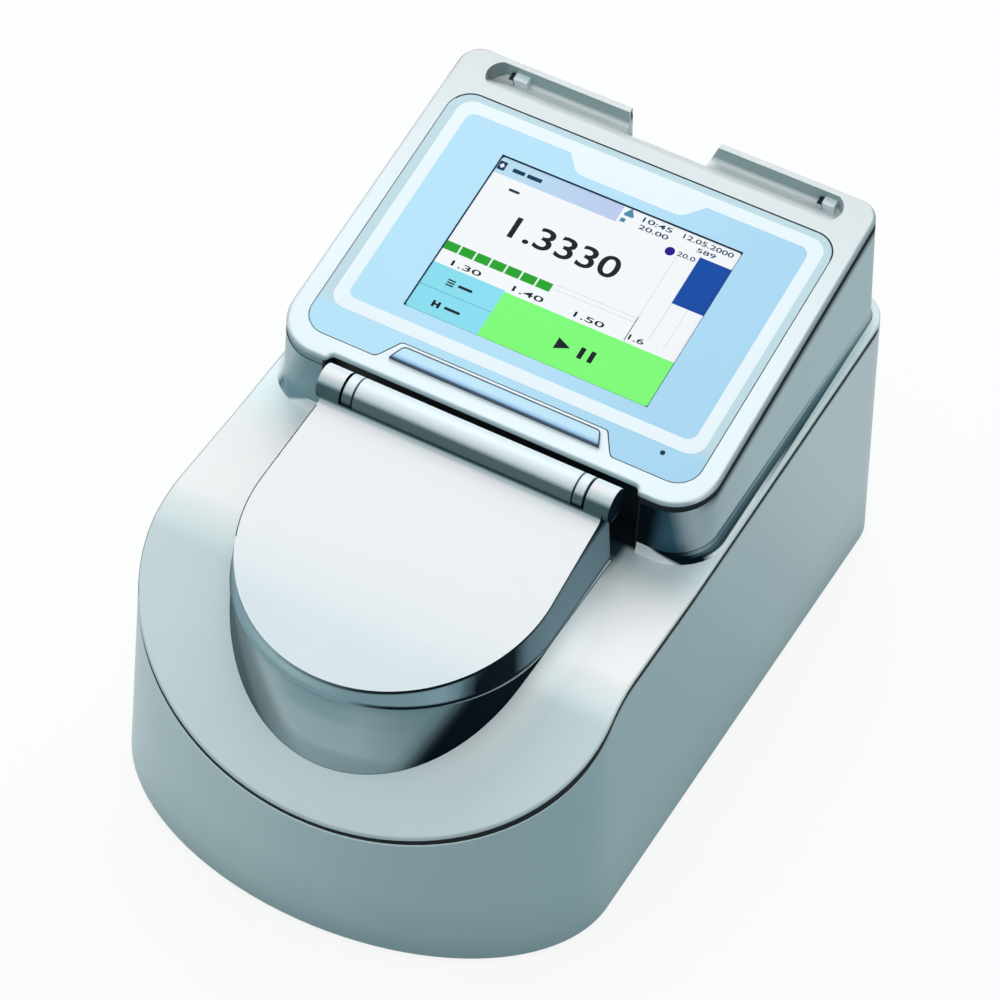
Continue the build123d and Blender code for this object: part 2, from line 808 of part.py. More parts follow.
# channel that holds the pen: steep behind, with a soft slope up to the face in front
with BuildPart() as tray:
    with BuildSketch(Plane(origin=face_plane.origin, x_dir=face_plane.y_dir, z_dir=face_plane.x_dir)):
        with BuildLine():
            FilletPolyline((tray_rear_v - 0.2, 10), (tray_rear_v - 1.1, -tray_depth), (82.2, -tray_depth),
                           (74.4, 0.02), (60, 0.02), radius=[1.8, 4.0, 6.0])
            Polyline((60, 0.02), (60, 10), (tray_rear_v - 0.2, 10))
        make_face()
    extrude(amount=tray_half_length + 1, both=True)
    with BuildPart(mode=Mode.PRIVATE) as tray_plan:
        with BuildSketch(face_plane.offset(10)):
            with Locations((0, (tray_front_v + tray_rear_v) / 2)):
                SlotOverall(2 * tray_half_length + 1.6, tray_rear_v - tray_front_v + 1.6)
        extrude(amount=-10 - tray_depth - 1, taper=5)
    add(tray_plan.part, mode=Mode.INTERSECT)


def tray_block(inset, margin):
    """Body round the pen channel inside the head, or its seat when it has a margin."""
    with BuildPart() as block:
        add(head_block(inset))
        with Locations((0, 124.0 - margin, 184.0 - margin)):
            Box(2 * (tray_half_length + 2.6 + margin), 60, 60, align=(Align.CENTER, Align.MIN, Align.MIN),
                mode=Mode.INTERSECT)
    return block.part


with BuildPart() as head_cover:
    add(head_solid)
    add(above_face(0), mode=Mode.SUBTRACT)
    with BuildPart(mode=Mode.PRIVATE) as notch:
        with BuildSketch(Plane.XY.offset(120)):
            add(rounded_plan(notch_half_width, -60.0, notch_y, 3.0, 3.0))
        extrude(amount=100)
    add(notch.part, mode=Mode.SUBTRACT)
    mouth = [e for e in head_cover.edges()
             if abs(abs(e.center().X) - notch_half_width) < 0.05 and abs(e.center().Y - head_front_y) < 0.05]
    fillet(mouth, 1.8)
    fillet(head_cover.faces().sort_by(lambda f: f.center().Z)[-1].outer_wire().edges(), rim_round)
    add(below_face(cover_skirt), mode=Mode.SUBTRACT)
    with BuildPart(mode=Mode.PRIVATE) as hollow:
        add(head_inside)
        add(above_face(face_thickness), mode=Mode.SUBTRACT)
    add(hollow.part, mode=Mode.SUBTRACT)
    with BuildPart(mode=Mode.PRIVATE) as trough:
        add(tray_block(seat_inset + 0.1, 0))
        add(above_face(cover_skirt), mode=Mode.SUBTRACT)
    add(trough.part)
    add(tray.part, mode=Mode.SUBTRACT)
    add(finger_gap.part, mode=Mode.SUBTRACT)
    with BuildSketch(face_plane.offset(-panel_depth)) as recess:
        with Locations((0, (panel_top_v + panel_bottom_v) / 2)):
            RectangleRounded(2 * panel_half_width + 0.8, panel_top_v - panel_bottom_v + 0.8,
                             panel_corner + 0.4)
        with BuildLine():
            FilletPolyline((-58, -75), (-53.3, -68.4), (-48.2, -60.4),
                           (48.2, -60.4), (53.3, -68.4), (58, -75), radius=2.0)
            Line((58, -75), (-58, -75))
        make_face(mode=Mode.SUBTRACT)
        fillet([v for v in recess.vertices() if v.Y < -70 and abs(v.X) < 62], 2.6)
    extrude(amount=10, mode=Mode.SUBTRACT)
    with BuildSketch(face_plane.offset(-20)):
        Rectangle(*window)
    extrude(amount=30, mode=Mode.SUBTRACT)
    with BuildSketch(face_plane.offset(-20)):
        with Locations(lamp_place):
            Circle(1.3)
    extrude(amount=30, mode=Mode.SUBTRACT)
save(head_cover, "head_cover")

with BuildPart() as cover_gasket:
    add(head_block(gasket_recess))
    add(head_block(gasket_groove), mode=Mode.SUBTRACT)
    add(below_face(cover_skirt), mode=Mode.INTERSECT)
    add(below_face(cover_skirt + gasket_height), mode=Mode.SUBTRACT)
    add(pocket.part, mode=Mode.SUBTRACT)
    add(finger_gap.part, mode=Mode.SUBTRACT)
save(cover_gasket, "cover_gasket")


def foot_outline(height, share, tuck):
    """Plan of the head's foot on a plane at this height over the deck, which rises to the back."""
    stretch = math.hypot(1, rear_rise)
    near_flare = share * band_front_flare - tuck
    far_flare = share * band_rear_flare - tuck
    rear_deck_z = plateau_z + rear_rise * (head_rear_y - rise_start_y)
    front = (head_front_y - band_front_share * near_flare - rise_start_y) * stretch
    back = (head_rear(rear_deck_z + height) + far_flare - rise_start_y) * stretch
    half = head_half_width - head_draft * height + near_flare
    rear_half = head_half_width - head_draft * (rear_deck_z + height - plateau_z) + far_flare
    plan = rounded_plan(half, front, back, 20.0 + near_flare, 10.0 + far_flare, rear_half)
    slope = Plane(origin=(0, rise_start_y, plateau_z + height), x_dir=(1, 0, 0), z_dir=(0, -rear_rise, 1))
    return slope.location * plan


# Coved strip round the head's foot, widest at the front corners
with BuildPart() as foot_band:
    for height, share, tuck in band_steps:
        add(foot_outline(height, share, tuck))
    loft(ruled=True)
    add(deck_solid, mode=Mode.SUBTRACT)
    add(head_block(band_inset), mode=Mode.SUBTRACT)
    add(pocket.part, mode=Mode.SUBTRACT)
save(foot_band, "foot_band")

with BuildPart() as head_shell:
    add(head_solid)
    add(head_inside, mode=Mode.SUBTRACT)
    with BuildPart(mode=Mode.PRIVATE) as pocket_wall:
        with Locations((0, head_front_y - 6, 150)):
            Box(2 * (pocket_half_width + wall), pocket_depth + wall + 6, 90,
                align=(Align.CENTER, Align.MIN, Align.CENTER))
        add(head_solid, mode=Mode.INTERSECT)
        add(below_face(face_thickness), mode=Mode.INTERSECT)
    add(pocket_wall.part)
    add(pocket.part, mode=Mode.SUBTRACT)
    add(below_face(cover_skirt), mode=Mode.INTERSECT)
    with BuildPart(mode=Mode.PRIVATE) as groove:
        add(head_solid)
        add(head_block(gasket_groove), mode=Mode.SUBTRACT)
        add(below_face(cover_skirt + gasket_height), mode=Mode.SUBTRACT)
    add(groove.part, mode=Mode.SUBTRACT)
    add(foot_band.part, mode=Mode.SUBTRACT)
    add(tray_block(seat_inset, 0.2), mode=Mode.SUBTRACT)
    add(finger_gap.part, mode=Mode.SUBTRACT)
save(head_shell, "head_shell")

# Black lining of the room behind the hinge
with BuildPart() as hinge_cradle:
    with Locations((0, head_front_y + 0.5, 150)):
        Box(2 * pocket_half_width, pocket_depth - 0.5, 90, align=(Align.CENTER, Align.MIN, Align.CENTER))
    with Locations((0, head_front_y, 150)):
        Box(2 * (pocket_half_width - cradle_plate), pocket_depth - cradle_plate, 90,
            align=(Align.CENTER, Align.MIN, Align.CENTER), mode=Mode.SUBTRACT)
    add(below_face(face_thickness), mode=Mode.INTERSECT)
    add(deck_solid, mode=Mode.SUBTRACT)
save(hinge_cradle, "hinge_cradle")

with BuildPart() as panel_sheet:
    with BuildSketch(face_plane.offset(-panel_depth)) as film:
        with Locations((0, (panel_top_v + panel_bottom_v) / 2)):
            RectangleRounded(2 * panel_half_width, panel_top_v - panel_bottom_v, panel_corner)
        with BuildLine():
            FilletPolyline((-58.5, -75), (-53.7, -68.2), (-48.6, -60),
                           (48.6, -60), (53.7, -68.2), (58.5, -75), radius=2.4)
            Line((58.5, -75), (-58.5, -75))
        make_face(mode=Mode.SUBTRACT)
        fillet([v for v in film.vertices() if v.Y < -70 and abs(v.X) < 62], 3.0)
        Rectangle(screen_width, screen_height, mode=Mode.SUBTRACT)
        with Locations(lamp_place):
            Circle(1.15, mode=Mode.SUBTRACT)
    extrude(amount=panel_depth)
save(panel_sheet, "panel_sheet")

with BuildPart() as touch_screen:
    with BuildSketch(face_plane.offset(-panel_depth)):
        Rectangle(screen_width + 1.4, screen_height + 1.4)
    extrude(amount=-2.2)
save(touch_screen, "touch_screen")

with BuildPart() as badge_plate:
    with BuildSketch(face_plane):
        with BuildLine():
            Polyline((-46.2, -62.2), (46.2, -62.2), (49.4, -69.6), (-49.4, -69.6), close=True)
        make_face()
    extrude(amount=1.4)
    chamfer(badge_plate.faces().sort_by(lambda f: f.center().Z)[-1].edges(), 0.6)
save(badge_plate, "badge_plate")

with BuildPart() as status_lamp:
    with BuildSketch(face_plane):
        with Locations(lamp_place):
            Circle(1.1)
    extrude(amount=-10)
    with BuildSketch(face_plane.offset(-10)):
        with Locations(lamp_place):
            Rectangle(8, 8)
    extrude(amount=-1.6)
save(status_lamp, "status_lamp")

with BuildPart() as lcd_module:
    with BuildSketch(face_plane.offset(-3.0)):
        Rectangle(126, 98)
    extrude(amount=-5.5)
save(lcd_module, "lcd_module")

with BuildPart() as lcd_bracket:
    with BuildSketch(face_plane.offset(-8.5)):
        Rectangle(146, 104)
        Rectangle(96, 66, mode=Mode.SUBTRACT)
    extrude(amount=-1.2)
    with BuildSketch(face_plane.offset(-face_thickness)):
        for x in (-69, 69):
            with Locations((x, 0)):
                Rectangle(8, 104)
    extrude(amount=-5.5)
save(lcd_bracket, "lcd_bracket")

with BuildPart() as display_board:
    with BuildSketch(face_plane.offset(-13.7)):
        Rectangle(120, 84)
    extrude(amount=-1.6)
    with BuildSketch(face_plane.offset(-9.7)):
        with GridLocations(108, 74, 2, 2):
            Circle(2.5)
    extrude(amount=-4.0)
save(display_board, "display_board")


def tray_piece(left, right, front_v, drop):
    """Piece between two places along the pen channel that fills it from front_v back to its rear wall."""
    with BuildPart() as piece:
        add(tray.part)
        with BuildPart(mode=Mode.PRIVATE) as limits:
            with BuildSketch(face_plane.offset(-drop)):
                with Locations(((left + right) / 2, (front_v + 100) / 2)):
                    Rectangle(right - left, 100 - front_v)
            extrude(amount=-20)
        add(limits.part, mode=Mode.INTERSECT)
    return piece.part


# Two ledges that carry the pen, each with a black stop on its left
with BuildPart() as pen_rests:
    for left, right in rest_places:
        add(tray_piece(left, right, rest_front_v, rest_drop))
save(pen_rests, "pen_rests")

with BuildPart() as pen_stops:
    for left, right in rest_places:
        add(tray_piece(left - 2.4, left, rest_front_v - 0.4, rest_drop + 1.1))
save(pen_stops, "pen_stops")

# Hinge


def hinge_circle(x, radius, bore=0.0):
    """Disc or ring square to the hinge axis."""
    with BuildSketch(Plane.YZ.offset(x)) as circle:
        with Locations((hinge_y, hinge_z)):
            Circle(radius)
            if bore:
                Circle(bore, mode=Mode.SUBTRACT)
    return circle.sketch


with BuildPart() as hinge_barrel:
    extrude(hinge_circle(0, knuckle_radius), amount=barrel_end, both=True)
    chamfer(hinge_barrel.edges().filter_by(GeomType.CIRCLE), end_chamfer)
    with Locations((0, hinge_y + 4.2, plateau_z - 4)):
        Box(2 * barrel_end - 8, 6.4, hinge_z - plateau_z + 4, align=(Align.CENTER, Align.CENTER, Align.MIN))
    add(deck_solid, mode=Mode.SUBTRACT)
    extrude(hinge_circle(0, shaft_radius + shaft_clearance), amount=barrel_end + 5, both=True,
            mode=Mode.SUBTRACT)
save(hinge_barrel, "hinge_barrel")

with BuildPart() as hinge_collars:
    for side in (-1, 1):
        extrude(hinge_circle(side * collar_start, knuckle_radius), amount=side * (collar_end - collar_start))
    chamfer(hinge_collars.edges().filter_by(GeomType.CIRCLE), end_chamfer)
    for side in (-1, 1):
        extrude(hinge_circle(side * barrel_end, collar_hub_radius),
                amount=side * (collar_start - barrel_end + 1))
    extrude(hinge_circle(0, shaft_radius + shaft_clearance), amount=collar_end + 5, both=True,
            mode=Mode.SUBTRACT)
save(hinge_collars, "hinge_collars")

with BuildPart() as hinge_shaft:
    extrude(hinge_circle(0, shaft_radius), amount=knuckle_end - 2.4, both=True)
save(hinge_shaft, "hinge_shaft")

# Lid

lid_rear_y = hinge_y - 1.0
lid_slope = tangent(lid_tilt)
lid_plate_z = 130.6
lid_plate_thickness = 2.0
lid_screw_places = [(-56, -50), (56, -50), (-44, -118), (44, -118)]


def lid_outline(z, inset=0.0):
    """Plan of the lid at height z: half ellipse in front, nearly straight sides to the hinge."""
    rise = z - lid_bottom_z
    half = 69.4 - 0.096 * rise - inset
    nose_y = -80.5
    front = -152.6 + 0.19 * rise + inset
    with BuildSketch(Plane.XY.offset(z)) as outline:
        with BuildLine():
            EllipticalCenterArc((0, nose_y), half, nose_y - front, 180, arc_size=180)
            Polyline((half, nose_y), (half - 1.1, lid_rear_y), (1.1 - half, lid_rear_y), (-half, nose_y))
        make_face()
    return outline.sketch


def lid_block(inset):
    with BuildPart() as block:
        add(lid_outline(lid_bottom_z, inset))
        add(lid_outline(lid_bottom_z + 40, inset))
        loft(ruled=True)
    return block.part


def above_lid(drop):
    def height(y):
        return lid_plane_z + (y - lid_plane_y) * lid_slope - drop / math.cos(math.radians(lid_tilt))
    return side_prism([(-170, height(-170)), (0, height(0)), (0, 260), (-170, 260)], 90)


with BuildPart() as lid_shell:
    add(lid_block(0))
    add(above_lid(0), mode=Mode.SUBTRACT)
    extrude(hinge_circle(0, knuckle_radius), amount=knuckle_end, both=True)
    cove = [e for e in lid_shell.edges().filter_by(Axis.X)
            if e.length > 100 and e.center().Z > hinge_z - 6 and e.center().Y < hinge_y - 4]
    fillet(cove, 4.0)
    with BuildPart(mode=Mode.PRIVATE) as lid_hollow:
        add(lid_block(lid_wall))
        add(above_lid(lid_wall), mode=Mode.SUBTRACT)
        add(side_prism([(-170, 120), (lid_rear_y - lid_wall, 120), (lid_rear_y - lid_wall, 145),
                        (lid_rear_y - 10, 152), (-170, 152)], 90), mode=Mode.INTERSECT)
    add(lid_hollow.part, mode=Mode.SUBTRACT)
    with BuildPart(mode=Mode.PRIVATE) as lid_bosses:
        with Locations(*[(x, y, lid_plate_z + lid_plate_thickness) for x, y in lid_screw_places]):
            Cylinder(3.5, 30, align=(Align.CENTER, Align.CENTER, Align.MIN))
        add(above_lid(1), mode=Mode.SUBTRACT)
        with Locations(*[(x, y, lid_plate_z) for x, y in lid_screw_places]):
            Cylinder(1.2, 8, align=(Align.CENTER, Align.CENTER, Align.MIN), mode=Mode.SUBTRACT)
    add(lid_bosses.part)
    extrude(hinge_circle(0, knuckle_radius + 0.5), amount=knuckle_start, both=True, mode=Mode.SUBTRACT)
    with Locations((0, lid_rear_y + 0.01, hinge_z)):
        Box(2 * knuckle_start, 30, 60, align=(Align.CENTER, Align.MIN, Align.CENTER), mode=Mode.SUBTRACT)
    extrude(hinge_circle(0, shaft_radius + shaft_clearance), amount=knuckle_end - 2.2, both=True,
            mode=Mode.SUBTRACT)
save(lid_shell, "lid_shell")

with BuildPart() as lid_inner_plate:
    add(lid_block(lid_wall + 0.2))
    with Locations((0, -90, lid_plate_z)):
        Box(200, 200, lid_plate_thickness, align=(Align.CENTER, Align.CENTER, Align.MIN), mode=Mode.INTERSECT)
    with Locations((0, -170, lid_plate_z)):
        Box(200, 170 + lid_rear_y - lid_wall - 0.2, 20, align=(Align.CENTER, Align.MIN, Align.CENTER),
            mode=Mode.INTERSECT)
    with BuildSketch(Plane.XY.offset(lid_plate_z)):
        with Locations((0, dish_y)):
            Circle(22)
    extrude(amount=-0.8)
    with Locations(*[(x, y, lid_plate_z) for x, y in lid_screw_places]):
        Hole(1.7, depth=10)
save(lid_inner_plate, "lid_inner_plate")

with BuildPart() as lid_seal:
    with BuildSketch(Plane.XZ):
        with BuildLine():
            Polyline((34, lid_plate_z), (38, lid_plate_z), (37.2, plateau_z + 0.1), (35.2, plateau_z + 0.1),
                     close=True)
        make_face()
    revolve(axis=Axis.Z)
lid_seal.part = lid_seal.part.moved(Location((0, dish_y, 0)))
save(lid_seal, "lid_seal")

with BuildPart() as lid_screws:
    with Locations(*[(x, y, lid_plate_z) for x, y in lid_screw_places]):
        Cylinder(2.6, 1.4, align=(Align.CENTER, Align.CENTER, Align.MAX))
        Cylinder(1.2, 8, align=(Align.CENTER, Align.CENTER, Align.MIN))
save(lid_screws, "lid_screws")

with BuildPart() as lid_magnet:
    with Locations((0, catch_y, plateau_z + 0.5)):
        Cylinder(4, lid_plate_z - plateau_z - 0.5, align=(Align.CENTER, Align.CENTER, Align.MIN))
save(lid_magnet, "lid_magnet")
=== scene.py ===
import json
import math

import bmesh
import bpy
from mathutils import Matrix, Vector

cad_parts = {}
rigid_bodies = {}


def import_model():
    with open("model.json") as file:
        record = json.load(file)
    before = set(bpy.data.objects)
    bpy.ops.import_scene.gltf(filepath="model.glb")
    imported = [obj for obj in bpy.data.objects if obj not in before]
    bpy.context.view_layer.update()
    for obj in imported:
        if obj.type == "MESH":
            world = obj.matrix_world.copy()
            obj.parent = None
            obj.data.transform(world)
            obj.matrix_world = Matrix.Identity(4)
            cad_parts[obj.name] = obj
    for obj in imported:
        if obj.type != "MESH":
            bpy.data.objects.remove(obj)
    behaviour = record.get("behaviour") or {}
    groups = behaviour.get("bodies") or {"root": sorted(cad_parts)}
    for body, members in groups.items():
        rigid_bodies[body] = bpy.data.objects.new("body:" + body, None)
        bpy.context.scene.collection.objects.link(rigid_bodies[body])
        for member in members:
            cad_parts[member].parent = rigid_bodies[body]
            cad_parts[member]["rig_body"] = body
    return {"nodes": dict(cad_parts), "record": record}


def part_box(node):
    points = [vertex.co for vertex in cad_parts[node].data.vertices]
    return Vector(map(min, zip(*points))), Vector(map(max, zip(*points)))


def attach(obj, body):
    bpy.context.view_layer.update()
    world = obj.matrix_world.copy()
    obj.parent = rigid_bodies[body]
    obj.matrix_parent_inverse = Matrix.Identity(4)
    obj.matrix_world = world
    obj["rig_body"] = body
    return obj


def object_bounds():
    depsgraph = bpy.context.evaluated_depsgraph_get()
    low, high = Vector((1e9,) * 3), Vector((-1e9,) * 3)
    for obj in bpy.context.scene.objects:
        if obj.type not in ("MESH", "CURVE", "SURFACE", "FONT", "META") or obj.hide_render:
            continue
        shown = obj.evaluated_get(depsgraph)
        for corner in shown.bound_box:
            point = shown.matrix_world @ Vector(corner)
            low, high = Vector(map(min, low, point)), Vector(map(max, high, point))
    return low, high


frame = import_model()
nodes = frame["nodes"]
cadLow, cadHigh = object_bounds()
mm = 0.001
print("frame loaded,", len(nodes), "nodes")


# Camera

cameraSetup = {
    "azimuth": 26.32,
    "elevation": 47.22,
    "roll": 3.62,
    "distance": 1.80362,
    "lens": 154.95,
    "sensor": 36.0,
    "aim": Vector((0.00727, -0.010, 0.1128)),
}


def placeCamera(setup):
    azimuth = math.radians(setup["azimuth"])
    elevation = math.radians(setup["elevation"])
    roll = math.radians(setup["roll"])
    back = Vector((
        math.sin(azimuth) * math.cos(elevation),
        -math.cos(azimuth) * math.cos(elevation),
        math.sin(elevation),
    ))
    level = Vector((math.cos(azimuth), math.sin(azimuth), 0))
    upright = back.cross(level)
    right = level * math.cos(roll) + upright * math.sin(roll)
    up = upright * math.cos(roll) - level * math.sin(roll)
    lensData = bpy.data.cameras.new("studioCamera")
    lensData.lens = setup["lens"]
    lensData.sensor_width = setup["sensor"]
    camera = bpy.data.objects.new("studioCamera", lensData)
    bpy.context.scene.collection.objects.link(camera)
    turn = Matrix((right, up, back)).transposed().to_4x4()
    camera.matrix_world = Matrix.Translation(setup["aim"] + back * setup["distance"]) @ turn
    bpy.context.scene.camera = camera


placeCamera(cameraSetup)
print("camera placed")


# Studio: world, floor and soft lamps

studio = {
    "skyTop": (0.62, 0.74, 0.78, 1),
    "skyLow": (0.20, 0.30, 0.33, 1),
    "skyFrom": -0.2,
    "skyTo": 0.9,
    "skyStrength": 0.5,
    "bounceColour": (0.20, 0.30, 0.32, 1),
    "paperColour": (0.95, 0.95, 0.95, 1),
    "glowShare": 0.86,
    "floorSize": 12.0,
    "floorDrop": 0.0002,
}

softLamps = [
    # name, place, aim, width, height, watts, colour
    ("rearBox", (-0.45, 1.05, 1.75), (0, 0, 0.10), 1.7, 1.3, 18.0, (1.0, 1.0, 1.0)),
    ("topBox", (-0.10, -0.55, 1.95), (0, 0, 0.10), 1.5, 1.1, 11.0, (0.97, 1.0, 1.0)),
    ("leftBox", (-1.30, -0.60, 0.90), (0, 0, 0.10), 0.9, 1.2, 2.4, (0.90, 0.97, 1.0)),
    ("rightBox", (1.50, 0.50, 0.80), (0, 0, 0.10), 0.8, 1.2, 4.5, (0.90, 0.97, 1.0)),
]


# The emptied shader tree of a material or a world
def nodeTree(owner):
    owner.use_nodes = True
    owner.node_tree.nodes.clear()
    return owner.node_tree


def newNode(tree, kind, **settings):
    node = tree.nodes.new(kind)
    for name, value in settings.items():
        setattr(node, name, value)
    return node


# One Math node fed by two values
def combine(tree, operation, first, second):
    node = newNode(tree, "ShaderNodeMath", operation=operation)
    tree.links.new(first, node.inputs[0])
    tree.links.new(second, node.inputs[1])
    return node.outputs[0]


# 1 for camera, glossy and transmission rays, 0 for the light itself
def seenByEye(tree):
    path = newNode(tree, "ShaderNodeLightPath")
    direct = combine(tree, "MAXIMUM", path.outputs["Is Camera Ray"], path.outputs["Is Glossy Ray"])
    return combine(tree, "MAXIMUM", direct, path.outputs["Is Transmission Ray"])


def makeWorld(setup):
    world = bpy.data.worlds.new("studioWorld")
    bpy.context.scene.world = world
    tree = nodeTree(world)
    place = newNode(tree, "ShaderNodeTexCoord")
    axes = newNode(tree, "ShaderNodeSeparateXYZ")
    rise = newNode(tree, "ShaderNodeMapRange")
    rise.inputs["From Min"].default_value = setup["skyFrom"]
    rise.inputs["From Max"].default_value = setup["skyTo"]
    sky = newNode(tree, "ShaderNodeMix", data_type="RGBA")
    sky.inputs[6].default_value = setup["skyLow"]
    sky.inputs[7].default_value = setup["skyTop"]
    lighting = newNode(tree, "ShaderNodeBackground")
    lighting.inputs["Strength"].default_value = setup["skyStrength"]
    backdrop = newNode(tree, "ShaderNodeBackground")
    backdrop.inputs["Color"].default_value = (1, 1, 1, 1)
    choice = newNode(tree, "ShaderNodeMixShader")
    out = newNode(tree, "ShaderNodeOutputWorld")
    tree.links.new(place.outputs["Generated"], axes.inputs[0])
    tree.links.new(axes.outputs["Z"], rise.inputs["Value"])
    tree.links.new(rise.outputs["Result"], sky.inputs[0])
    tree.links.new(sky.outputs[2], lighting.inputs["Color"])
    tree.links.new(seenByEye(tree), choice.inputs[0])
    tree.links.new(lighting.outputs[0], choice.inputs[1])
    tree.links.new(backdrop.outputs[0], choice.inputs[2])
    tree.links.new(choice.outputs[0], out.inputs["Surface"])


def makeFloor(setup):
    bm = bmesh.new()
    bmesh.ops.create_grid(bm, x_segments=4, y_segments=4, size=setup["floorSize"] / 2)
    bmesh.ops.translate(bm, verts=bm.verts, vec=(0, 0, cadLow.z - setup["floorDrop"]))
    mesh = bpy.data.meshes.new("studioFloor")
    bm.to_mesh(mesh)
    bm.free()
    floor = bpy.data.objects.new("studioFloor", mesh)
    bpy.context.scene.collection.objects.link(floor)
    material = bpy.data.materials.new("floorPaper")
    tree = nodeTree(material)
    bounce = newNode(tree, "ShaderNodeBsdfDiffuse")
    bounce.inputs["Color"].default_value = setup["bounceColour"]
    paper = newNode(tree, "ShaderNodeBsdfDiffuse")
    paper.inputs["Color"].default_value = setup["paperColour"]
    glow = newNode(tree, "ShaderNodeEmission")
    glow.inputs["Color"].default_value = (1, 1, 1, 1)
    seen = newNode(tree, "ShaderNodeMixShader")
    seen.inputs[0].default_value = setup["glowShare"]
    mix = newNode(tree, "ShaderNodeMixShader")
    out = newNode(tree, "ShaderNodeOutputMaterial")
    tree.links.new(paper.outputs[0], seen.inputs[1])
    tree.links.new(glow.outputs[0], seen.inputs[2])
    tree.links.new(seenByEye(tree), mix.inputs[0])
    tree.links.new(bounce.outputs[0], mix.inputs[1])
    tree.links.new(seen.outputs[0], mix.inputs[2])
    tree.links.new(mix.outputs[0], out.inputs["Surface"])
    mesh.materials.append(material)


# A soft box that shines from its place towards its aim
def makeLamp(name, place, aim, width, height, watts, colour):
    lamp = bpy.data.lights.new(name, "AREA")
    lamp.shape = "RECTANGLE"
    lamp.size = width
    lamp.size_y = height
    lamp.energy = watts
    lamp.color = colour
    holder = bpy.data.objects.new(name, lamp)
    holder.location = place
    holder.rotation_mode = "QUATERNION"
    holder.rotation_quaternion = (Vector(aim) - Vector(place)).to_track_quat("-Z", "Y")
    bpy.context.scene.collection.objects.link(holder)


makeWorld(studio)
makeFloor(studio)
for lamp in softLamps:
    makeLamp(*lamp)
bpy.context.scene.view_settings.view_transform = "Standard"
print("studio lit")


# Materials

# What a finish has unless it says otherwise
plainLook = {
    "stretch": (1, 1, 1),
    "cloudScale": 14,
    "cloudDetail": 3,
    "grainScale": 1400,
    "grainDetail": 2,
    "grainShare": 0.4,
    "bump": 0.15,
    "bumpDepth": 0.04 * mm,
    "metallic": 0.0,
    "ior": 1.45,
    "specular": 0.5,
    "coat": 0.0,
    "coatRoughness": 0.1,
    "clear": 0.0,
    "glow": 0.0,
    "shades": [],
}


# One Vector Math node with a constant as its second value
def vectorNode(tree, operation, taken, constant):
    node = newNode(tree, "ShaderNodeVectorMath", operation=operation)
    node.inputs[1].default_value = constant
    tree.links.new(taken, node.inputs[0])
    return node


# How far a surface faces or lies along a direction, both of these added up, or how far it lies in
# plan from a point
def measure(tree, place, by, along):
    if by == "both":
        facing = measure(tree, place, "facing", along[0])
        return combine(tree, "ADD", facing, measure(tree, place, "place", along[1]))
    if by == "from":
        plan = vectorNode(tree, "MULTIPLY", place.outputs["Object"], (1, 1, 0))
        return vectorNode(tree, "DISTANCE", plan.outputs["Vector"], along).outputs["Value"]
    taken = place.outputs["Normal" if by == "facing" else "Object"]
    return vectorNode(tree, "DOT_PRODUCT", taken, along).outputs["Value"]


# Runs a measured value through stops of (value, amount)
def rampOf(tree, value, stops):
    first, last = stops[0][0], stops[-1][0]
    spread = newNode(tree, "ShaderNodeMapRange")
    spread.inputs["From Min"].default_value = first
    spread.inputs["From Max"].default_value = last
    ramp = newNode(tree, "ShaderNodeValToRGB")
    points = ramp.color_ramp.elements
    for at, _ in stops[1:-1]:
        points.new((at - first) / (last - first))
    for point, (_, amount) in zip(points, stops):
        point.color = (amount, amount, amount, 1)
    tree.links.new(value, spread.inputs["Value"])
    tree.links.new(spread.outputs["Result"], ramp.inputs["Fac"])
    return ramp.outputs["Color"]


# Lays a deeper or paler colour over the part of a surface where the stops say so
def addShade(tree, place, colour, shade):
    amount = rampOf(tree, measure(tree, place, shade["by"], shade["along"]), shade["stops"])
    for by, along, stops in shade.get("only", []):
        limit = rampOf(tree, measure(tree, place, by, along), stops)
        amount = combine(tree, "MULTIPLY", amount, limit)
    mix = newNode(tree, "ShaderNodeMix", data_type="RGBA")
    mix.inputs[7].default_value = (*shade["deep"], 1)
    tree.links.new(amount, mix.inputs[0])
    tree.links.new(colour, mix.inputs[6])
    return mix.outputs[2]


